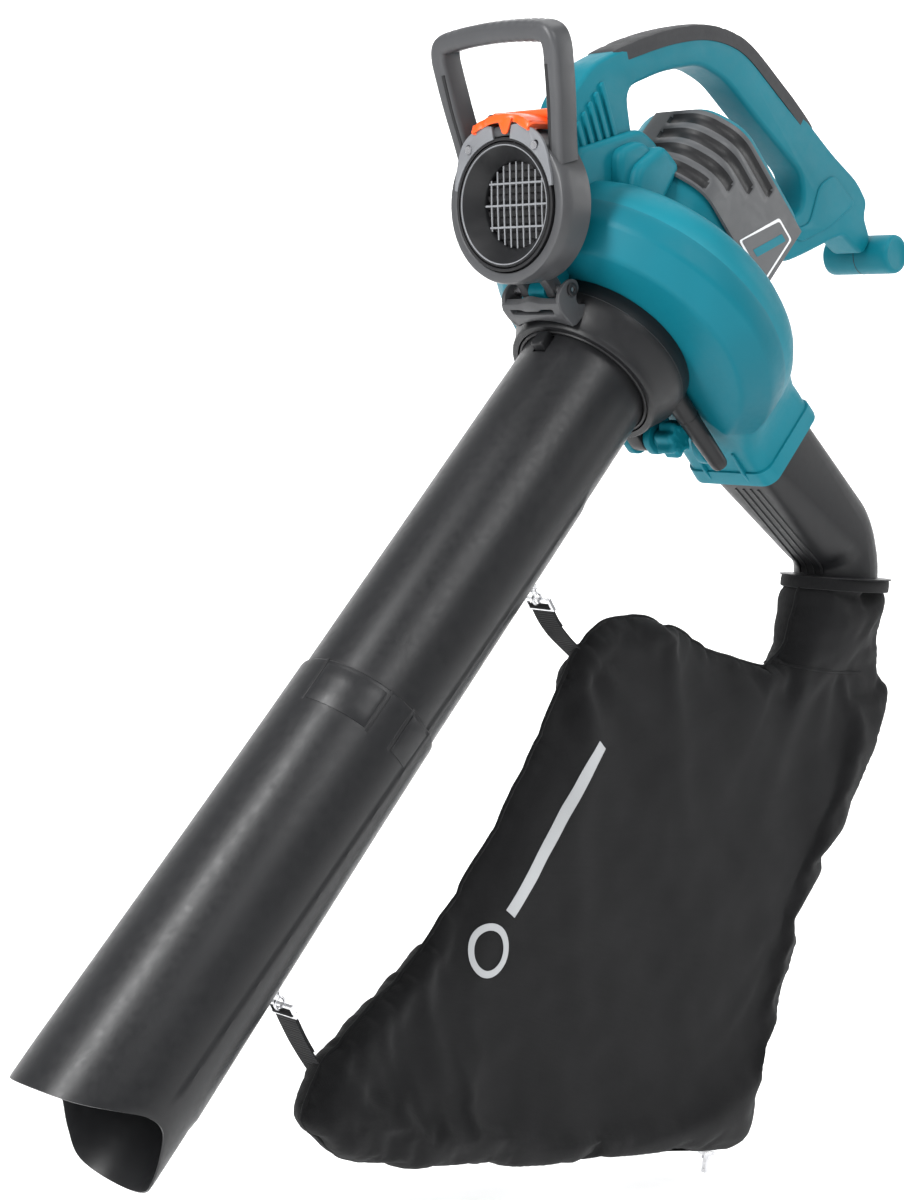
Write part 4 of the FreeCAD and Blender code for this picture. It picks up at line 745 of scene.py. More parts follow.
def build_clamp():
    """The lugs of the housing's clamp, its lobed knob and the bolt's boss."""
    outline = rounded([(-48, -84), (-20, -84), (-11, -92), (-11, -108), (-20, -116), (-48, -118)], 7)
    for side, y_low in (("left", 8.5), ("right", -16.5)):
        ear = add_piece("clamp_ear_" + side, prism(outline, y_low, y_low + 8), TEAL)
        bevelled(carved(ear, bolt_hole(CLAMP, 4.1)), 1.2, 3)
    rings = []
    for y, scale in ((25.3, 0.9), (26.5, 1.0), (38, 1.0), (41, 0.95), (42.6, 0.82), (42.9, 0.6),
                     (42.2, 0.5)):
        ring = []
        for angle in turns(112):
            lobe = scale * (16.1 + 2.0 * math.cos(7 * angle))
            ring.append((CLAMP[0] + lobe * math.cos(angle), y, CLAMP[1] + lobe * math.sin(angle)))
        rings.append(ring)
    add_piece("lobed_knob", rings_mesh(rings), TEAL, ["star_knob"], body="clamp_knob")
    hub = [disc(CLAMP, y, radius, 48) for y, radius in ((17.2, 8.5), (18, 9.2), (25.5, 9.2))]
    add_piece("knob_collar", rings_mesh(hub), TEAL, body="clamp_knob")
    tab = rounded([(-48, -118), (-40, -118), (-33, -131), (-35, -146), (-48, -152)], 8)
    bevelled(add_piece("guide_tab", prism(tab, 34, 44), TEAL), 1.5, 3)


def build_hinge_lug():
    """The teal lug between the bracket's ears that carries the intake cover's pin."""
    outline = rounded([(-47, 86), (-27, 88), (-19, 87), (-10.5, 92), (-10.5, 102), (-19, 106),
                       (-47, 106)], 6)
    lug = add_piece("hinge_lug", prism(outline, -9.8, 9.8), TEAL)
    bevelled(carved(lug, bolt_hole(HINGE, 4.05)), 1.0, 3)


# ---------------------------------------------------------------- motor cover
def cover_section():
    """The motor cover's eight-sided section as (y, w) points with soft corners."""
    half, low, high, chamfer = 66.0, -92.0, 88.0, 30.0
    left = [(half - chamfer, low), (half, low + chamfer), (half, high - chamfer), (half - chamfer, high)]
    corners = left[1:] + [(-y, w) for y, w in left[::-1]] + left[:1]
    return rounded(corners, 17, 5)


def build_motor_covers():
    """The two clamshells as one soft eight-sided hull, domed at the back, with a seam."""
    stations = [(-129, 1.0), (-131, 1.0), (-150, 0.9), (-166, 0.9), (-182, 0.99), (-186, 1.0), (-262, 1.0),
                (-268, 0.985), (-273, 0.955), (-276.5, 0.90), (-278.5, 0.82), (-279, 0.70), (-279, 0.2)]
    rings = []
    for t, scale in stations:
        rings.append([(t, y * scale, (w + 2) * scale - 2) for y, w in cover_section()])
    add_piece("motor_cover", rings_mesh(rings), TEAL, ["motor_cover_left", "motor_cover_right"], sharp=32)
    strip = [(-187, 87.8), (-187, 88.35), (-264, 88.35), (-264, 87.8)]
    add_piece("motor_cover_seam", prism(strip, -0.4, 0.4), BLACK)
    for k in range(5):
        w = -58 + 13 * k
        slit = rounded([(-20, w), (20, w), (20, w + 5), (-20, w + 5)], 2.4)
        add_piece("rear_slit_%d" % k, facing(slit, -279.6, -278), BLACK)


def panel_path(grow):
    """From the top's middle over the left shoulder and down the left side, as (y, w)."""
    half, top = 66 + grow, 88 + grow
    return rounded([(-20, top), (half - 30, top), (half, top - 30), (half, -64)], 18, 8, closed=False)


SLOT_STARTS = (-257, -237, -217, -197)
SLOT_WIDTH = 10.5


def evenly(line, pitch):
    """Points a fixed distance apart along a line."""
    spaced = [line[0]]
    left = pitch
    for a, b in zip(line, line[1:]):
        run, done = (b - a).length, 0.0
        while run - done >= left:
            done += left
            spaced.append(a.lerp(b, done / run))
            left = pitch
        left -= run - done
    return spaced


def build_vent_panel():
    """The grey panel with four long slots that run over the shoulder and down the side."""
    line = evenly([Vector(p) for p in panel_path(3.0)], 2.2)
    lengths = [0.0]
    for a, b in zip(line, line[1:]):
        lengths.append(lengths[-1] + (b - a).length)
    first, last = -264.0, -182.0
    edges = [t for start in SLOT_STARTS for t in (start - 1.4, start + 1.2, start + SLOT_WIDTH - 1.2,
                                                   start + SLOT_WIDTH + 1.4)]
    verts, dark = [], set()
    stations = sorted([first, first + 1.2, last - 1.2, last] + edges)
    for t in stations:
        slot = next((k for k, start in enumerate(SLOT_STARTS) if start < t < start + SLOT_WIDTH), None)
        for point, along in zip(line, lengths):
            share = along / lengths[-1]
            sunk = slot is not None and 0.10 < share < 0.74 - 0.10 * slot
            away = (point - Vector((0, -2))).normalized()
            lowered = 1.9 if sunk else (1.6 if t in (first, last) else 0)
            place = point - away * lowered
            if sunk:
                dark.add(len(verts))
            verts.append((t, place.x, place.y))
    size = len(line)
    faces = []
    for i in range(len(stations) - 1):
        for j in range(size - 1):
            a = i * size + j
            faces.append((a, a + 1, a + size + 1, a + size))
    panel = add_piece("vent_panel_skin", (verts, faces), PANEL_GREY, ["vent_panel", "vent_louvres"],
                      sharp=40)
    panel.data.materials.append(BLACK)
    for face in panel.data.polygons:
        if sum(v in dark for v in face.vertices) >= 2:
            face.material_index = 1
    thick = panel.modifiers.new("thickness", "SOLIDIFY")
    thick.thickness = 1.6 * MM
    thick.offset = 0
    applied(panel, 40)


def build_label():
    """A plain rating plate with a white border and no words, low on the panel's left side."""
    def plate(name, inset, y, material, slot):
        corners = [(-246 + inset, -30 - inset), (-187 - inset, -4 - inset), (-187 - inset, -58 + inset),
                   (-246 + inset, -58 + inset)]
        return add_piece(name, prism(rounded(corners, 3), y, y + 0.5), material)
    plate("plate_border", 0, 69.9, WHITE, "light_grey_plastic")
    plate("plate_field", 2.4, 70.1, PANEL_GREY, "light_grey_plastic")
    band = rounded([(-238, -43), (-196, -24), (-196, -33), (-238, -52)], 1.5)
    add_piece("plate_band", prism(band, 70.4, 70.9), TEAL)


# ---------------------------------------------------------------- main handle
HANDLE_OUTLINE = [(-100, 172), (-128, 196), (-148, 205), (-172, 206), (-193, 206), (-223, 195),
                  (-266, 174), (-300, 155), (-334, 131), (-360, 103), (-377, 70), (-389, 10),
                  (-407, -90), (-420, -138), (-418, -165), (-404, -172), (-396, -198),
                  (-374, -198), (-364, -160), (-349, -152), (-300, -128), (-272, -112),
                  (-272, -70), (-333, -97), (-355, -72), (-336, 20), (-327, 72), (-308, 108),
                  (-263, 138), (-213, 161), (-186, 120), (-183, 86), (-131, 86), (-90, 110), (-66, 142.7)]
GRIP_LINE = [(-223, 195), (-266, 174), (-300, 155), (-334, 131), (-360, 103), (-377, 70), (-389, 10),
             (-400, -50)]


def build_handle():
    """The loop: tower, grip, rear bridge and the stem of the cable foot, as one soft slab."""
    shell = add_piece("handle_shell", prism(rounded(HANDLE_OUTLINE, 16, 5), -17.6, 17.6), TEAL,
                      ["handle_left", "handle_right"])
    bevelled(shell, 4.5, 4, 50, 40)
    blocks = (("tower_block", 27, 6, [(-62, 126), (-92, 152), (-118, 172), (-196, 128), (-204, 100),
                                      (-186, 78), (-84, 78)]),
              ("tower_boss", 47, 9, [(-192, 112), (-196, 80), (-136, 70), (-128, 108), (-150, 122)]),
              ("tower_shelf", 38, 7, [(-126, 118), (-150, 142), (-180, 128), (-188, 96), (-132, 92)]))
    for name, half, soft, corners in blocks:
        bevelled(add_piece(name, prism(rounded(corners, 10), -half, half), TEAL), soft, 4, 50, 40)
    seam = rounded([(-98, 173.5), (-128, 197.6), (-148, 206.4), (-180, 207.3)], 10, closed=False)
    strip = seam + [(t - 0.2, w - 1.4) for t, w in seam[::-1]]
    add_piece("tower_seam", prism(strip, -0.5, 0.5), BLACK)
    for k in range(5):
        t = -124 - 12 * k
        rib = rounded([(t, 138 + k), (t + 5.5, 138 + k), (t - 13, 184 + k), (t - 18.5, 184 + k)], 2)
        for side, low in (("left", 17.0), ("right", -20.6)):
            fin = add_piece("tower_rib_%s_%d" % (side, k), prism(rib, low, low + 3.6), TEAL)
            bevelled(fin, 1.1, 2)


def grip_rings():
    """The rubber strip's rounded sections along the outside of the grip."""
    path = [Vector((p.x, 0, p.y)) for p in curve_through(GRIP_LINE, 9)]
    rings = []
    for i, point in enumerate(path):
        along = (path[min(i + 1, len(path) - 1)] - path[max(i - 1, 0)]).normalized()
        out = Vector((along.z, 0, -along.x))
        share = i / (len(path) - 1)
        end = min(1.0, 9 * share, 9 * (1 - share))
        half = 15.5 + 3.0 * math.sqrt(end)
        groove = 0.9 if share < 0.62 and (share * 26) % 1 < 0.16 else 0.0
        lift = 3.9 * math.sqrt(end) - groove
        side, inset = Vector((0, half, 0)), Vector((0, half - 2.4, 0))
        ring = [point + side - out * 12, point + side - out * 5]
        for k in range(13):
            angle = math.pi * k / 12
            ring.append(point + Vector((0, half * math.cos(angle), 0))
                        + out * (lift * math.sin(angle) ** 0.6 - 0.3))
        ring += [point - side - out * 5, point - side - out * 12]
        ring += [point - inset - out * 12.6, point + inset - out * 12.6]
        rings.append([tuple(p) for p in ring])
    return rings


def build_grip():
    """The grip's rubber strip."""
    add_piece("grip_rubber", rings_mesh(grip_rings()), RUBBER, ["grip_overmould"], sharp=38)


def build_foot():
    """The round bar across the end of the stem, with flat chamfered ends."""
    profile = [(0, 19.9), (6, 20), (30, 20), (36.5, 19.8), (38.6, 19.0), (39.8, 17.2), (39.9, 14.6),
               (39.4, 13.9), (39.3, 0.5)]
    stations = [(-y, r) for y, r in reversed(profile[1:])] + profile
    rings = [disc(FOOT, y, r, 72) for y, r in stations]
    add_piece("cable_foot", rings_mesh(rings), TEAL, sharp=50)
    seam = [disc(FOOT, y, r, 72) for y, r in ((-0.35, 20.15), (0.35, 20.15), (0.35, 19.5), (-0.35, 19.5))]
    add_piece("foot_seam", rings_mesh(seam, closed=True), BLACK)


def build_bridge():
    """The raised panel on each side of the rear bridge."""
    raised = rounded([(-399, -150), (-352, -138), (-306, -116), (-298, -95), (-330, -112), (-368, -96),
                      (-392, -104)], 8)
    for name, y_low, y_high in (("bridge_panel_left", 17, 19.4), ("bridge_panel_right", -19.4, -17)):
        bevelled(add_piece(name, prism(raised, y_low, y_high), TEAL), 1.6, 3)


def build_dial():
    """The knurled speed wheel under the grip's front."""
    rings = []
    for y, scale in ((-5.9, 0.9), (-5, 1.0), (5, 1.0), (5.9, 0.9)):
        ring = []
        for k in range(144):
            angle = 2 * math.pi * k / 144
            r = scale * (16.6 + (0.35 if k % 6 < 3 else -0.45))
            ring.append((-180 + r * math.cos(angle), y, 189 + r * math.sin(angle)))
        rings.append(ring)
    add_piece("speed_wheel_rim", rings_mesh(rings), BLACK, ["speed_dial"], body="speed_wheel")


# ---------------------------------------------------------------- intake cover
HINGE_NOTCH = prism([(-38, -80), (-22, -80), (-22, -50), (-38, -50)], -10.5, 10.5)


def build_ring():
    """The cover's ring: a rounded band with a stepped front edge, and its two hinge arms."""
    profile = [(-35.8, 59), (-35.8, 66.5), (-34, 68.4), (-12, 69), (-1.5, 68.8), (1.2, 67.6), (2.0, 65.8),
               (2.0, 60.6), (1.2, 59.2), (-6, 58.1), (-34, 58.1)]
    ring = add_piece("cover_ring", revolved(profile, 144), MID_GREY, ["front_handle"], place=COVER,
                     body="intake_cover", sharp=36)
    carved(ring, HINGE_NOTCH, COVER, 36)
    hinge = COVER.inverted() @ TOOL @ (Vector((HINGE[0], 0, HINGE[1])) * MM) / MM
    x, z = hinge.x, hinge.z
    arm = rounded([(x - 7, z + 2), (x - 4, z - 7), (x + 5, z - 7), (x + 8, z), (-22, -62), (-35, -61),
                   (-42, z + 12)], 5)
    for name, low, high in (("arm_left", 10.6, 19.8), ("arm_right", -19.8, -10.6)):
        piece = add_piece("hinge_" + name, prism(arm, low, high), MID_GREY, place=COVER,
                          body="intake_cover")
        bevelled(carved(piece, bolt_hole((x, z), 4.06), COVER), 1.4, 3)
    ear = rounded([(-31, 52), (-21, 52), (-21, 81), (-31, 81)], 4.5)
    for k, low in enumerate((38.6, -42.4)):
        piece = add_piece("lever_ear_%d" % k, prism(ear, low, low + 3.8), MID_GREY, place=COVER,
                          body="intake_cover")
        bevelled(piece, 0.8, 2)


def bow_place():
    """The bow's frame: it leans back a little from the ring."""
    return COVER @ Matrix.Translation((-16 * MM, 0, 35 * MM)) @ Matrix.Rotation(math.radians(12), 4, "Y")


def bow_line():
    """The middle of the front handle's bar, as (y, u) points from the right root to the left."""
    half = [(54.5, 0), (57.5, 24), (62, 52), (65.8, 82), (66.8, 99), (62, 108.4), (47, 111.6), (24, 113.4),
            (0, 114)]
    right = [(-y, u) for y, u in half]
    return right + half[-2::-1]


def build_bow():
    """The bow-shaped front handle: flared flat posts, a ribbed top bar, and darker grey strips along its
    posts.
    """
    path = [Vector((0, p.x, p.y)) for p in curve_through(bow_line(), 8)]

    def section(share):
        """The bar's section at a share of its length: flared at its roots, ribbed along its top."""
        rise = 1 - abs(2 * share - 1)
        root = max(0.0, 1 - rise / 0.3)
        flat = 12.6 + 0.3 * root
        deep = 8.7 - 1.2 * root
        top = min(1.0, max(0.0, (rise - 0.62) / 0.1))
        rib = 0.55 if top > 0.9 and (share * 44) % 1 < 0.2 else 0.0
        return oblong(flat - 0.6 * top, deep + 0.6 * top - rib, 5.2 + 1.8 * top, 5)
    rings = swept(path, section, side=(1, 0, 0))
    add_piece("front_bow", rings_mesh(rings), MID_GREY, place=bow_place(), body="intake_cover", sharp=40)
    post = curve_through([(54.5, 3), (57.5, 24), (62, 52), (65.4, 84)], 6)
    for name, side in (("left", 1), ("right", -1)):
        inset = [Vector((0.4, side * (p.x - 3.4), p.y)) for p in post]
        rings = swept(inset, oblong(12.9, 2.1, 1.5, 3), side=(1, 0, 0))
        add_piece("bow_inlay_" + name, rings_mesh(rings), HOOD_GREY, place=bow_place(), body="intake_cover",
                  sharp=40)


def build_funnel():
    """The black well inside the ring and the funnel that narrows to the grille."""
    well = [(-35.6, 55.2), (3.6, 55.2), (3.9, 56.2), (3.6, 57.8), (-35.6, 57.9)]
    skin = add_piece("cover_well", revolved(well, 128), BLACK, ["cover_funnel"], place=COVER,
                     body="intake_cover")
    carved(skin, HINGE_NOTCH, COVER)
    funnel = [(3.2, 51.2), (4.0, 51.9), (4.0, 53.4), (3.0, 54.2), (-0.5, 53.2), (-12.0, 40.5), (-17, 40.2),
              (-17, 38), (-13, 38), (-11.6, 38.8)]
    add_piece("cover_cone", revolved(funnel, 128), HOOD_GREY, place=COVER, body="intake_cover",
              sharp=30)
    floor = [(-20.5, 0.5), (-18.6, 0.5), (-18.6, 55), (-20.5, 55)]
    add_piece("cover_web", revolved(floor, 96), BLACK, place=COVER, body="intake_cover")
    rim = [(3.6, 50.8), (4.4, 51.2), (4.4, 51.9), (3.6, 52.1)]
    add_piece("funnel_rim_line", revolved(rim, 128), GRILLE, place=COVER, body="intake_cover")


def build_grille():
    """Upright and level bars over dark slanted slats."""
    front, radius = -12.6, 37.6
    shapes = []
    for i in range(9):
        y = (i - 4) * 7.6
        half = math.sqrt(radius ** 2 - y ** 2)
        outline = [(front - 1.0, -half), (front, -half), (front + 0.5, 0), (front, half),
                   (front - 1.0, half)]
        shapes.append(prism(outline, y - 0.8, y + 0.8))
    for i in range(3):
        u = (i - 1) * 19.0
        half = math.sqrt(radius ** 2 - u ** 2)
        outline = [(front - 1.0, u - 0.9), (front + 0.6, u - 0.9), (front + 0.6, u + 0.9),
                   (front - 1.0, u + 0.9)]
        shapes.append(prism(outline, -half, half))
    grille = add_piece("intake_bars", merged(shapes), GRILLE, ["intake_grille"], place=COVER,
                       body="intake_cover")
    bevelled(grille, 0.25, 1)
    shapes = []
    for i in range(11):
        u = (i - 5) * 6.6
        half = math.sqrt(radius ** 2 - u ** 2)
        outline = [(front - 4.6, u - 2.6), (front - 3.8, u - 2.6), (front - 2.2, u + 2.2),
                   (front - 3.0, u + 2.2)]
        shapes.append(prism(outline, -half, half))
    add_piece("intake_slats", merged(shapes), BLACK, place=COVER, body="intake_cover")


def wing_outline():
    """The left plate: narrow at its foot, it widens to a shoulder beside the latch."""
    inner, outer, steps = 57.2, 68.6, 22
    angles = [math.radians(14 + 66 * k / steps) for k in range(steps + 1)]
    outline = []
    for k, angle in enumerate(angles):
        share = k / steps
        bulge = 5.5 * math.sin(math.pi * min(1, max(0, (share - 0.25) / 0.75))) ** 0.8
        radius = min(outer, inner + 3 + 16 * share) + bulge * (0.3 + 0.7 * share)
        outline.append((radius * math.cos(angle), radius * math.sin(angle)))
    return outline + [(inner * math.cos(angle), inner * math.sin(angle)) for angle in reversed(angles)]


def build_wings():
    """The two pale clamping plates, each with a screw hole, beside the latch's gap."""
    angle = math.radians(51)
    well = [(2.0, 0.3), (3.0, 0.3), (3.0, 3.3), (2.0, 3.3)]
    for name, side in (("left", 1), ("right", -1)):
        outline = [(side * y, u) for y, u in wing_outline()][::side]
        plate = add_piece("wing_" + name, facing(outline, 2.1, 5.0), PALE_GREY, ["cover_wings"],
                          place=COVER, body="intake_cover")
        y, u = side * 64.5 * math.cos(angle), 64.5 * math.sin(angle)
        bevelled(carved(plate, rod((0, y, u), (9, y, u), 3.4), COVER), 0.5, 2)
        place = COVER @ Matrix.Translation((0, y * MM, u * MM))
        add_piece("wing_well_" + name, revolved(well, 32), BLACK, place=place, body="intake_cover")


def build_lever():
    """The orange latch lever: an arched cap over the ring's top, scalloped along its front."""
    rings = []
    count = 60
    for i in range(count + 1):
        share = i / count
        angle = math.radians(62 + 56 * share)
        edge = min(1.0, 7 * share, 7 * (1 - share))
        crown = 78.6 - 2.5 * (1 - math.sqrt(edge))
        dip = math.exp(-((share - 0.27) / 0.1) ** 2)
        front = 7.6 - (3.2 * dip + 2.0 * math.exp(-((share - 0.80) / 0.06) ** 2))
        skirt = 70.4 + 1.2 * dip
        section = [(-31, 71.5), (-31, crown - 5), (-28, crown - 1.6), (-22, crown), (front - 7, crown),
                   (front - 2.4, crown - 1.0), (front - 0.4, crown - 3.2), (front, crown - 5.5),
                   (front, skirt), (front - 2.2, skirt), (front - 3.6, crown - 4.6), (-24, crown - 4.4),
                   (-28.4, 71.5)]
        rings.append([(n, r * math.cos(angle), r * math.sin(angle)) for n, r in section])
    add_piece("latch_cap", rings_mesh(rings), ORANGE, ["release_lever"], place=COVER, body="latch_lever",
              sharp=34)
    barrel = [disc((-26, 77), y, r, 32) for y, r in ((-37, 4), (-36, 4.9), (36, 4.9), (37, 4))]
    add_piece("latch_barrel", rings_mesh(barrel), ORANGE, place=COVER, body="latch_lever")
    tip = rounded([(-16, 70), (6, 70.5), (6.5, 63), (2, 58.5), (-3, 62)], 3)
    for k, low in enumerate((30, -34)):
        leaf = add_piece("latch_ear_%d" % k, prism(tip, low, low + 4), ORANGE, place=COVER,
                         body="latch_lever")
        bevelled(leaf, 1.0, 2)
    tongue = rounded([(-9, 74), (9, 74), (2.5, 60), (-2.5, 60)], 2.5)
    bevelled(add_piece("latch_tongue", facing([(y + 6, u) for y, u in tongue], 5.2, 7.4), ORANGE,
                       place=COVER, body="latch_lever"), 0.6, 2)


# ---------------------------------------------------------------- hinge bracket
def build_bracket():
    """The grey bracket on the hood: a bowed front with a window, a hump, and curled ears."""
    rings = []
    for i in range(25):
        share = i / 24
        y = -34.6 + 69.2 * share
        hump = 3.2 * math.exp(-(y / 9) ** 2)
        base = math.sqrt(max(0.0, 80.5 ** 2 - y ** 2))
        rings.append([(-3, y, base - 1), (1.4, y, base - 1), (3.6, y, 84), (3.8, y, 94.5 + hump),
                      (1.6, y, 99.4 + hump), (-4.4, y, 100.6 + hump), (-6.0, y, 97.4 + hump),
                      (-3.0, y, 94), (-1.6, y, 84)])
    front = add_piece("bracket_front", rings_mesh(rings), MID_GREY, ["hinge_bracket"], sharp=30)
    window = rounded([(-25, 88.4), (25, 88.4), (26, 94.8), (12, 94.8), (8, 92.5), (-8, 92.5), (-12, 94.8),
                      (-26, 94.8)], 1.5)
    carved(front, facing(window, -12, 12), sharp=30)
    bevelled(front, 0.6, 2, 40)
    ear = rounded([(1.5, 70), (3.6, 84), (3.6, 96), (-4, 105.4), (-15, 107.2), (-26, 104), (-30.5, 97),
                   (-27, 90), (-20, 88.5), (-16, 82), (-28, 71), (-12, 69)], 6)
    for name, low in (("left", 30.8), ("right", -35.2)):
        cheek = add_piece("bracket_ear_" + name, prism(ear, low, low + 4.4), MID_GREY)
        bevelled(cheek, 1.1, 3)
    socket = [(0.0, 0.3), (0.6, 0.3), (0.6, 2.0), (2.0, 2.2), (2.5, 3.2), (2.5, 5.2), (2.0, 6.0), (0.0, 6.0)]
    for name, y, side in (("left", 35.2, 1), ("right", -35.2, -1)):
        place = TOOL @ Matrix.Translation(Vector((HINGE[0], y, HINGE[1])) * MM)
        place = place @ Matrix.Rotation(side * math.pi / 2, 4, "Z")
        add_piece("hinge_screw_" + name, revolved(socket, 40), BLACK,
                  ["bracket_screws"] if side > 0 else [], place=place)


# ---------------------------------------------------------------- discharge pipe
PIPE_RUN, PIPE_BEND, PIPE_TURN = 155.0, 58.0, math.radians(56.8)


def bend_point(angle):
    """The pipe's middle, that far round its bend."""
    return Vector((PIPE_BEND * (1 - math.cos(angle)), 0, -PIPE_RUN - PIPE_BEND * math.sin(angle)))


def pipe_path():
    """A straight run and a bend that turns the pipe straight down, in the pipe's frame."""
    points = [Vector((0, 0, 6 - (PIPE_RUN + 6) * k / 14)) for k in range(15)]
    return points + [bend_point(PIPE_TURN * k / 12) for k in range(1, 13)]


def build_pipe():
    """Rounded-square where it leaves the housing and round at the bag."""
    def outer(share):
        """The section at a share of the length, from square to round."""
        square = max(0.0, 1 - share / 0.8)
        half = 42.3 - 0.2 * square
        return oblong(half, half, 16 + (half - 16.4) * (1 - square), 8)

    def inner(share):
        """The bore's section, inside the wall."""
        return [(0.945 * a, 0.945 * b) for a, b in outer(share)]
    path = pipe_path()
    rings = swept(path, outer) + swept(path, inner)[::-1]
    add_piece("pipe_shell", rings_mesh(rings, closed=True), HOOD_GREY, ["discharge_pipe"], place=PIPE,
              sharp=34)
    for k, offset in enumerate((-13, -4, 5, 14)):
        rib = [Vector((p.x + 42.0 * n.x, offset, p.z + 42.0 * n.z)) for p, n in pipe_fronts(path[3:24])]
        rings = swept(rib, oblong(1.1, 1.2, 0.9, 3))
        add_piece("pipe_rib_%d" % k, rings_mesh(rings), HOOD_GREY, place=PIPE)
    for k, depth in enumerate((-118, -142)):
        step = rounded([(-43.4, depth), (-40, depth), (-40, depth - 20), (-46.6, depth - 20)], 1.2)
        bevelled(add_piece("pipe_latch_%d" % k, prism(step, -9, 9), HOOD_GREY, place=PIPE), 0.7, 2)


def pipe_fronts(path):
    """Each point of the path with the direction across it in the bend's plane."""
    pairs = []
    for i, point in enumerate(path):
        along = (path[min(i + 1, len(path) - 1)] - path[max(i - 1, 0)]).normalized()
        pairs.append((point, Vector((-along.z, 0, along.x))))
    return pairs


def build_flange():
    """The thin plate that the bag's neck is sewn to."""
    sections = ((0.0, 55.8), (-0.2, 56.6), (-1.2, 56.6), (-1.5, 55.8), (-1.5, 40.2), (0.0, 40.2))
    rings = [[(half * math.cos(a), half * math.sin(a), z) for a in turns(96)] for z, half in sections]
    place = PIPE @ Matrix.Translation(bend_point(PIPE_TURN) * MM) @ Matrix.Rotation(-PIPE_TURN, 4, "Y")
    add_piece("bag_plate", rings_mesh(rings, closed=True), BLACK, ["bag_flange"], place=place)


# ---------------------------------------------------------------- collecting bag
# The flat bag's outline in the level frame, (x, z): neck, right seam, floor, toe and lobe.
BAG_OUTLINE = [(-444, -141), (-447, -190), (-458, -226), (-496, -243), (-478, -305), (-442, -390),
               (-398, -480), (-368, -560), (-342, -640), (-334, -698), (-310, -722), (-200, -717),
               (0, -706), (115, -701), (222, -684), (262, -650), (248, -604), (176, -536), (112, -468),
               (72, -400), (32, -328), (8, -276), (2, -240), (-36, -212), (-96, -192), (-190, -224),
               (-290, -238), (-320, -222), (-325, -190), (-327, -148)]
NECK_MIDDLE = (-385.5, -144.5)
NECK_HALF = (58.5, 51)
NECK_SLOPE = -7 / 117
CELL = 9.0
MARK_ENDS = (Vector((76, -512)), Vector((-40, -326)))
MARK_RING = 24


def neck_edge(x):
    """The height of the neck's top edge, square to the pipe's end, at a place across it."""
    return NECK_MIDDLE[1] + NECK_SLOPE * (x - NECK_MIDDLE[0])


def bag_line():
    """The outline with softened corners, as evenly spaced points."""
    line = [Vector(p) for p in rounded(BAG_OUTLINE, 16, 4)]
    spaced = []
    for i, point in enumerate(line):
        after = line[(i + 1) % len(line)]
        count = max(1, round((after - point).length / CELL))
        spaced += [point.lerp(after, k / count) for k in range(count)]
    return spaced


def flat_panel(line):
    """A triangle mesh inside the outline: vertices and faces."""
    low = Vector((min(p.x for p in line), min(p.y for p in line)))
    high = Vector((max(p.x for p in line), max(p.y for p in line)))
    points = list(line)
    rows = int((high.y - low.y) / (CELL * 0.87)) + 1
    columns = int((high.x - low.x) / CELL) + 1
    for r in range(rows):
        for c in range(columns):
            p = Vector((low.x + (c + 0.5 * (r % 2)) * CELL, low.y + r * CELL * 0.87))
            if inside(p, line) and edge_distance(p, line) > 0.6 * CELL:
                points.append(p)
    edges = [(i, (i + 1) % len(line)) for i in range(len(line))]
    verts, _, faces, _, _, _ = delaunay_2d_cdt(points, edges, [], 1, 0.001)
    return verts, faces


def inside(p, line):
    """Whether a point lies inside a closed line."""
    hit = False
    for a, b in zip(line, line[1:] + line[:1]):
        if (a.y > p.y) != (b.y > p.y) and p.x < (b.x - a.x) * (p.y - a.y) / (b.y - a.y) + a.x:
            hit = not hit
    return hit


def edge_distance(p, line):
    """How far a point is from a closed line."""
    best = 1e9
    for a, b in zip(line, line[1:] + line[:1]):
        span = b - a
        share = max(0.0, min(1.0, (p - a).dot(span) / max(span.length_squared, 1e-9)))
        best = min(best, (p - a - span * share).length)
    return best


def neck_share(p):
    """1 at the neck's top edge, 0 below the neck."""
    return max(0.0, min(1.0, 1 - (NECK_MIDDLE[1] - p.y) / 85)) if p.x < -300 and p.y > -250 else 0.0


def bag_half_depth(p, distance):
    """Half the bag's thickness at a point that far from the seam."""
    neck = neck_share(p)
    reach = 62 - 6 * neck
    full = 30 + 20 * neck
    curve = math.sqrt(max(0.0, 1 - (1 - min(distance / reach, 1)) ** 2))
    return full * curve


def bag_mesh():
    """Two panels joined at the seam, open at the neck's top."""
    line = bag_line()
    flat, triangles = flat_panel(line)
    top = [i for i, p in enumerate(flat) if p.x < -318 and abs(p.y - neck_edge(p.x)) < 1.5]
    seam = {i for i, p in enumerate(flat) if edge_distance(p, line) < 0.2}
    ends = sorted(top, key=lambda i: flat[i].x)
    mouth = set(ends[1:-1])
    verts, index = [], {}
    for side in (1, -1):
        for i, p in enumerate(flat):
            if i in seam and i not in mouth:
                if (i, 1) in index:
                    index[(i, side)] = index[(i, 1)]
                    continue
                depth = 0.0
            elif i in mouth:
                share = (p.x - NECK_MIDDLE[0]) / (NECK_HALF[0] + 1)
                depth = NECK_HALF[1] * math.sqrt(max(0.0, 1 - share * share))
            else:
                depth = bag_half_depth(p, edge_distance(p, line))
            index[(i, side)] = len(verts)
            lean = 7 * neck_share(p)
            verts.append((p.x, BAG_Y + lean + side * depth, p.y))
    faces = []
    for triangle in triangles:
        faces.append(tuple(index[(i, 1)] for i in triangle))
        faces.append(tuple(index[(i, -1)] for i in reversed(triangle)))
    pinned = [index[(i, side)] for i in mouth for side in (1, -1)]
    pinned += [index[(ends[0], 1)], index[(ends[-1], 1)]]
    seam_only = [index[(i, 1)] for i in seam - mouth]
    return verts, faces, sorted(set(pinned)), seam_only


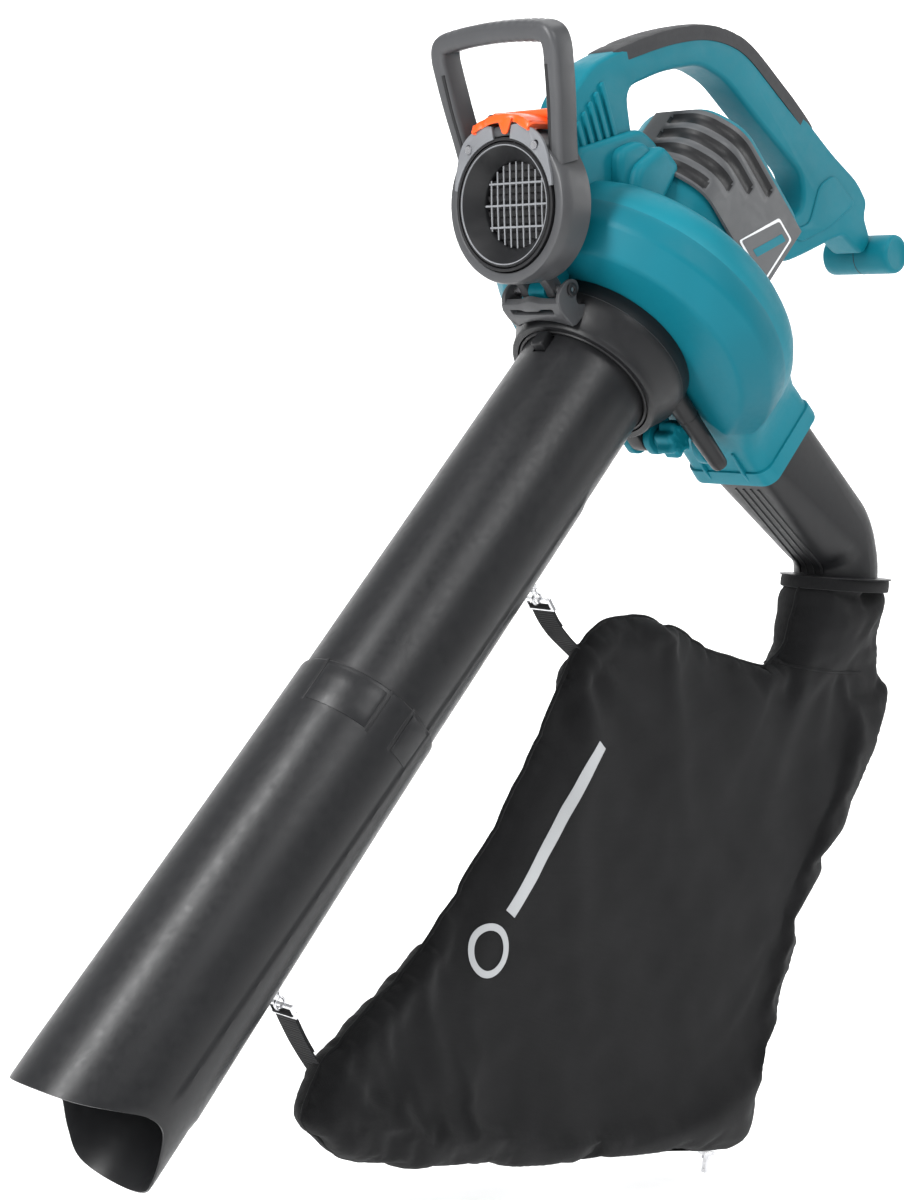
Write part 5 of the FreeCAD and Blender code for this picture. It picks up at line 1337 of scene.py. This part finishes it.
def pin_group(piece, pinned, seam):
    """The neck is held fast and the seams are held softly, as the piping does."""
    group = piece.vertex_groups.new(name="held")
    group.add(seam, 0.6, "REPLACE")
    group.add(pinned, 1.0, "REPLACE")
    return group.name


def simulated(piece, held, frames, cap):
    """The cloth blown up a little and let sag, with no point moved further than the cap."""
    start = [v.co.copy() for v in piece.data.vertices]
    cloth = piece.modifiers.new("cloth", "CLOTH")
    settings = cloth.settings
    settings.quality = 6
    settings.mass = 0.25
    settings.tension_stiffness = 22
    settings.compression_stiffness = 18
    settings.shear_stiffness = 9
    settings.bending_stiffness = 0.35
    settings.tension_damping = 8
    settings.vertex_group_mass = held
    settings.pin_stiffness = 1
    settings.use_pressure = True
    settings.uniform_pressure_force = 1.6
    settings.shrink_min = -0.055
    settings.effector_weights.gravity = 0.5
    cloth.collision_settings.use_collision = False
    scene = bpy.context.scene
    cloth.point_cache.frame_start = 1
    cloth.point_cache.frame_end = frames
    for number in range(1, frames + 1):
        scene.frame_set(number)
    shape = piece.evaluated_get(bpy.context.evaluated_depsgraph_get())
    ended = [v.co.copy() for v in shape.data.vertices]
    piece.modifiers.clear()
    for vertex, before, after in zip(piece.data.vertices, start, ended):
        moved = after - before
        vertex.co = before + moved * min(1.0, cap * MM / max(moved.length, 1e-9))
    scene.frame_set(1)


def crease(p):
    """Hanging folds: long soft ridges that fan down from the neck and strap corners."""
    ripple = 0.0
    for x, z, strength, count in ((-386, -215, 1.6, 11), (-10, -235, 3.0, 9), (238, -640, 2.6, 7)):
        reach = math.hypot(p.x - x, p.z - z)
        angle = math.atan2(p.z - z, p.x - x)
        fade = math.exp(-reach / 170) * min(1.0, reach / 30)
        ripple += strength * fade * math.sin(count * angle + 0.02 * reach)
    slow = noise.noise(Vector((p.x / 95, p.y / 160, p.z / 70)))
    fine = noise.noise(Vector((p.x / 34 + 7, p.y / 60, p.z / 26)))
    return ripple + 4.2 * slow + 1.2 * fine


def wrinkled(piece):
    """Folds laid over the simulated cloth, along its normals, fading out at the neck's edge."""
    mesh = piece.data
    for vertex in mesh.vertices:
        p = LEVEL.inverted() @ vertex.co / MM
        fade = min(1.0, max(0.0, (-150 - p.z) / 60))
        vertex.co += vertex.normal * crease(p) * fade * MM


def build_bag():
    """The black cloth bag: simulated, wrinkled and thickened; it returns the seam's line for the piping."""
    verts, faces, pinned, seam = bag_mesh()
    mesh = bpy.data.meshes.new("bag_cloth")
    mesh.from_pydata([LEVEL @ (Vector(v) * MM) for v in verts], [], faces)
    bag = bpy.data.objects.new("bag_cloth", mesh)
    bpy.context.scene.collection.objects.link(bag)
    mesh.materials.append(BAG_CLOTH)
    held = pin_group(bag, pinned, seam)
    simulated(bag, held, 22, 13)
    bag.vertex_groups.clear()
    wrinkled(bag)
    seam_line = seam_points(bag, seam)
    smooth = bag.modifiers.new("smooth", "SUBSURF")
    smooth.levels = smooth.render_levels = 1
    thick = bag.modifiers.new("thickness", "SOLIDIFY")
    thick.thickness = 1.2 * MM
    thick.offset = -1
    applied(bag, 60)
    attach(bag, "tool")
    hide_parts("bag")
    return bag, seam_line


def build_neck_seam(bag):
    """The corded seam across each panel where the neck is joined to the body."""
    tree = BVHTree.FromObject(bag, bpy.context.evaluated_depsgraph_get())
    for name, side in (("left", 1), ("right", -1)):
        path = []
        for k in range(31):
            share = k / 30
            x, z = -427 + 182 * share, -237 + 9 * share - 6 * math.sin(math.pi * share)
            start = LEVEL @ (Vector((x, BAG_Y + 150 * side, z)) * MM)
            hit = tree.ray_cast(start, Vector((0, -side, 0)))[0]
            if hit is not None:
                path.append(LEVEL.inverted() @ hit / MM)
        rings = swept(path, oblong(1.3, 1.3, 1.2, 3))
        add_piece("neck_seam_" + name, rings_mesh(rings), BAG_CLOTH, place=LEVEL, sharp=60)


def build_mark(bag):
    """A plain pale ring and bar printed on the bag's left panel, laid on the cloth's surface."""
    tree = BVHTree.FromObject(bag, bpy.context.evaluated_depsgraph_get())
    low, high = MARK_ENDS
    along = (high - low).normalized()
    across = Vector((-along.y, along.x))
    shapes = []
    grid = []
    for k in range(49):
        angle = 2 * math.pi * k / 48
        spoke = along * math.cos(angle) + across * math.sin(angle)
        grid.append([low + spoke * (MARK_RING - 1.6 * j) for j in range(5)])
    shapes.append(grid)
    bar_start = low + along * (MARK_RING + 14)
    length = (high - bar_start).length
    shapes.append([[bar_start + along * (length * k / 48) + across * (2.2 * j - 6.6) for j in range(7)]
                   for k in range(49)])
    verts, faces = [], []
    for grid in shapes:
        base, width = len(verts), len(grid[0])
        for row in grid:
            for p in row:
                start = LEVEL @ (Vector((p.x, 150, p.y)) * MM)
                hit = tree.ray_cast(start, Vector((0, -1, 0)))[0] or tree.find_nearest(start)[0]
                verts.append(LEVEL.inverted() @ hit / MM + Vector((0, 0.4, 0)))
        for i in range(len(grid) - 1):
            for j in range(width - 1):
                a = base + i * width + j
                faces.append((a, a + 1, a + width + 1, a + width))
    mark = add_piece("bag_print", (verts, faces), PRINT, place=LEVEL, sharp=180)
    thick = mark.modifiers.new("thickness", "SOLIDIFY")
    thick.thickness = 0.3 * MM
    applied(mark, 60)


def seam_points(bag, seam):
    """The seam's points in order round the bag, in the level frame's millimetres."""
    points = [LEVEL.inverted() @ bag.data.vertices[i].co / MM for i in seam]
    order = []
    for target in bag_line():
        best = min(points, key=lambda q: (q.x - target.x) ** 2 + (q.z - target.y) ** 2)
        if math.hypot(best.x - target.x, best.z - target.y) < 26 and (not order or best != order[-1]):
            order.append(best)
    return order


def laid_on(bag, line):
    """The line brought onto the bag's finished surface and evened out."""
    tree = BVHTree.FromObject(bag, bpy.context.evaluated_depsgraph_get())
    for _ in range(2):
        evened = [(a + b * 2 + c) / 4 for a, b, c in zip(line, line[1:], line[2:])]
        line = [line[0]] + evened + [line[-1]]
        line = [LEVEL.inverted() @ tree.find_nearest(LEVEL @ (p * MM))[0] / MM for p in line]
    return line


def build_piping(line):
    """A thin corded seam that follows the two panels' joint."""
    path = curve_through(line, 2)
    rings = swept(path, [(1.9 * math.cos(a), 1.9 * math.sin(a)) for a in turns(10)])
    add_piece("bag_piping", rings_mesh(rings), BAG_CLOTH, place=LEVEL, sharp=60)


def build_neck_band():
    """The doubled hem round the neck."""
    def ring(z, grow):
        """The neck's oval, that far above its edge and outside it."""
        points = []
        for angle in turns(96):
            x = NECK_MIDDLE[0] + (NECK_HALF[0] + grow) * math.cos(angle)
            y = BAG_Y + 7 + (NECK_HALF[1] + grow) * math.sin(angle)
            points.append((x, y, neck_edge(x) + z))
        return points
    steps = ((1.2, -1.4), (1.0, 0.6), (-4, 1.1), (-9, 1.0), (-10.5, 0.4), (-11, -1.4))
    rings = [ring(z, grow) for z, grow in steps]
    add_piece("neck_hem", rings_mesh(rings, closed=True), BAG_CLOTH, place=LEVEL, sharp=50)


# ---------------------------------------------------------------- straps, hooks and zip
# The level frame's points that each strap runs between: its lug on the tube and the bag's corner.
STRAPS = {"upper": (TOOL @ (Vector((175, 0, -71)) * MM), (-5, -235), (-27, -252)),
          "lower": (TOOL @ (Vector((609, 0, -75.5)) * MM), (238, -614), (214, -643))}
STRAP_START = 34.5
STRAP_HALF = 12.4


def strap_path(name):
    """The strap's middle line: straight from the link, then over the bag's seam."""
    lug, corner, sewn = STRAPS[name]
    lug = LEVEL.inverted() @ lug / MM
    corner = Vector((corner[0], 0, corner[1]))
    along = (corner - lug).normalized()
    start = lug + along * STRAP_START
    last = Vector((sewn[0], BAG_Y - 3, sewn[1]))
    return curve_through([start, start.lerp(corner, 0.5), corner + Vector((0, 6, 0)), last], 8), along


def webbing(path, thick):
    """A flat band along a path, with slightly pointed edges."""
    half = STRAP_HALF
    return rings_mesh(swept(path, [(-half, -thick), (half, -thick), (half + 0.2, 0), (half, thick),
                                   (-half, thick), (-half - 0.2, 0)]))


def build_strap(name):
    """Webbing folded round the link, sewn back on itself and into the bag's seam."""
    path, along = strap_path(name)
    across = Vector((along.z, 0, -along.x))
    strap = add_piece(name + "_strap", webbing(path, 0.75), WEBBING,
                      ["bag_straps"] if name == "upper" else [], place=LEVEL)
    back = [p + across * 1.7 for p in path[:len(path) // 2]]
    fold = add_piece(name + "_strap_fold", webbing(back, 0.7), WEBBING, place=LEVEL)
    loop = [path[0] + across * (0.85 + 2.6 * math.cos(a)) - along * (2.6 * math.sin(a))
            for a in (math.pi * k / 10 for k in range(11))]
    around = add_piece(name + "_strap_loop", webbing(loop, 0.7), WEBBING, place=LEVEL)
    stitches = []
    for row in (2, len(back) - 2):
        base = path[row] + across * 2.6
        for k in range(9):
            centre = base + Vector((0, 2.4 * k - 9.6, 0))
            stitches.append(rod(centre + Vector((0, -0.8, 0)), centre + Vector((0, 0.8, 0)), 0.28, steps=8))
    add_piece(name + "_strap_stitches", merged(stitches), ZIP_TAPE, place=LEVEL)


def zip_frame():
    """The zip's own frame: along the bag's floor, from its right end."""
    low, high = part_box("zipper")
    run = JOINTS["zip_run"]["axis"]
    along = Vector(run)
    down = Vector((along.z, 0, -along.x))
    origin = Vector((low.x, BAG_Y * MM, low.z))
    turn = Matrix((along, Vector((0, 1, 0)), -down)).transposed().to_4x4()
    return Matrix.Translation(origin) @ turn, (high.x - low.x) / MM


def build_zip():
    """Two tapes with a row of moulded teeth between them, bowed a little with the cloth."""
    place, length = zip_frame()
    tape = []
    for side in (-1, 1):
        path = [Vector((2 + (length - 4) * k / 40, side * 5.4, 4.0 + 0.4 * math.sin(k * 0.9)))
                for k in range(41)]
        tape.append(rings_mesh(swept(path, [(-4.2, -0.4), (4.2, -0.4), (4.2, 0.4), (-4.2, 0.4)])))
    add_piece("zip_tapes", merged(tape), ZIP_TAPE, ["zipper"], place=place)
    teeth = []
    count = int((length - 30) / 3.2)
    for k in range(count):
        x = 14 + 3.2 * k
        side = 0.9 if k % 2 else -0.9
        tooth = [(x, 2.2), (x + 1.5, 2.2), (x + 1.5, 4.2), (x, 4.2)]
        teeth.append(prism(tooth, side - 1.9, side + 1.9))
    add_piece("zip_teeth", merged(teeth), BLACK, place=place)


# ---------------------------------------------------------------- carried-over CAD nodes
CAD_LOOKS = {
    "clamp_nut": ZINC, "knob_bolt": ZINC, "hinge_pin": ZINC, "cover_screws": ZINC, "lever_pin": ZINC,
    "housing_screws": ZINC, "impeller_nut": ZINC, "lever_spring": NICKEL, "button_spring": NICKEL,
    "motor_shaft": NICKEL, "stator": LAMINATION, "armature": LAMINATION, "motor_plate": LAMINATION,
    "front_bearing": NICKEL, "rear_bearing": NICKEL, "field_coils": COPPER, "commutator": COPPER,
    "carbon_brushes": CARBON, "rear_bracket": BLACK, "cooling_fan": BLACK, "impeller": BLACK,
    "switch_module": BLACK, "mains_inlet": BLACK, "upper_hook": NICKEL, "lower_hook": NICKEL,
    "upper_gate": NICKEL, "lower_gate": NICKEL, "hook_eyes": NICKEL, "strap_links": NICKEL,
    "zip_slider": NICKEL, "zip_pull": NICKEL,
}


def dress_cad_nodes():
    """A better material on each CAD node that stays in view."""
    for name, material in CAD_LOOKS.items():
        node = frame["nodes"][name]
        node.data.materials.clear()
        node.data.materials.append(material)


# ---------------------------------------------------------------- stage
def build_stage():
    """A pale floor that curves up into a pale wall."""
    floor_z = CAD_BOX[0].z - 0.001
    rings = [(-4.5, 0), (2.6, 0), (3.6, 0.12), (4.3, 0.55), (4.7, 1.3), (4.8, 2.4), (4.8, 6.0)]
    line = curve_through([(a, b, 0) for a, b in rings], 8)
    away = Vector((-0.7071, -0.7071, 0))
    side = Vector((-0.7071, 0.7071, 0))
    verts, faces = [], []
    for point in line:
        base = away * point.x + Vector((0, 0, floor_z + point.y))
        verts += [base - side * 9, base + side * 9]
    for i in range(len(line) - 1):
        a = 2 * i
        faces.append((a, a + 1, a + 3, a + 2))
    mesh = bpy.data.meshes.new("floor")
    mesh.from_pydata(verts, [], faces)
    mesh.shade_smooth()
    floor = bpy.data.objects.new("floor", mesh)
    bpy.context.scene.collection.objects.link(floor)
    paper = plastic("paper", (0.88, 0.88, 0.88), 0.85, 0.02, edge_wear_and_highlight=0, specular=0.1)
    shader = paper.node_tree.nodes["Principled BSDF"]
    shader.inputs["Emission Color"].default_value = (1, 1, 1, 1)
    shader.inputs["Emission Strength"].default_value = 0.42
    mesh.materials.append(paper)


def add_light(name, place, target, size, power):
    """A rectangular soft light aimed at a point."""
    data = bpy.data.lights.new(name, "AREA")
    data.shape = "RECTANGLE"
    data.size, data.size_y = size
    data.energy = power
    light = bpy.data.objects.new(name, data)
    light.location = place
    light.rotation_euler = (Vector(target) - Vector(place)).to_track_quat("-Z", "Y").to_euler()
    bpy.context.scene.collection.objects.link(light)


def build_lights():
    """The studio: key, tube streak, top, rim, a light for the wall, and a pale world."""
    middle = (CAD_BOX[0] + CAD_BOX[1]) / 2
    add_light("key", (0.6, 2.3, 1.5), middle, (1.3, 1.3), 36)
    add_light("streak", (1.95, 0.05, 0.4), (0.3, 0, -0.6), (0.34, 1.9), 62)
    add_light("top", (-0.3, -0.3, 2.4), middle, (2.0, 2.0), 26)
    add_light("rim", (-2.2, 1.6, 0.9), middle, (0.8, 1.8), 26)
    add_light("wall", (-1.6, -1.6, 2.6), (-3.4, -3.4, 0.2), (3.5, 2.5), 130)
    world = bpy.data.worlds.new("studio")
    world.use_nodes = True
    world.node_tree.nodes["Background"].inputs["Color"].default_value = (0.96, 0.98, 1.0, 1)
    world.node_tree.nodes["Background"].inputs["Strength"].default_value = 0.42
    bpy.context.scene.world = world
    bpy.context.scene.view_settings.view_transform = "Standard"


# ---------------------------------------------------------------- everything
build_stage()
build_lights()
dress_cad_nodes()
build_upper_tube()
build_lower_tube()
build_snap_tabs()
build_hood()
build_hood_arm()
build_tube_button()
build_volute()
build_outlet()
build_clamp()
build_hinge_lug()
build_motor_covers()
build_vent_panel()
build_label()
build_handle()
build_grip()
build_foot()
build_bridge()
build_dial()
build_ring()
build_bow()
build_funnel()
build_grille()
build_wings()
build_lever()
build_bracket()
build_pipe()
build_flange()
bag_cloth, seam_line = build_bag()
build_neck_seam(bag_cloth)
build_mark(bag_cloth)
build_piping(laid_on(bag_cloth, seam_line))
build_neck_band()
build_strap("upper")
build_strap("lower")
build_zip()
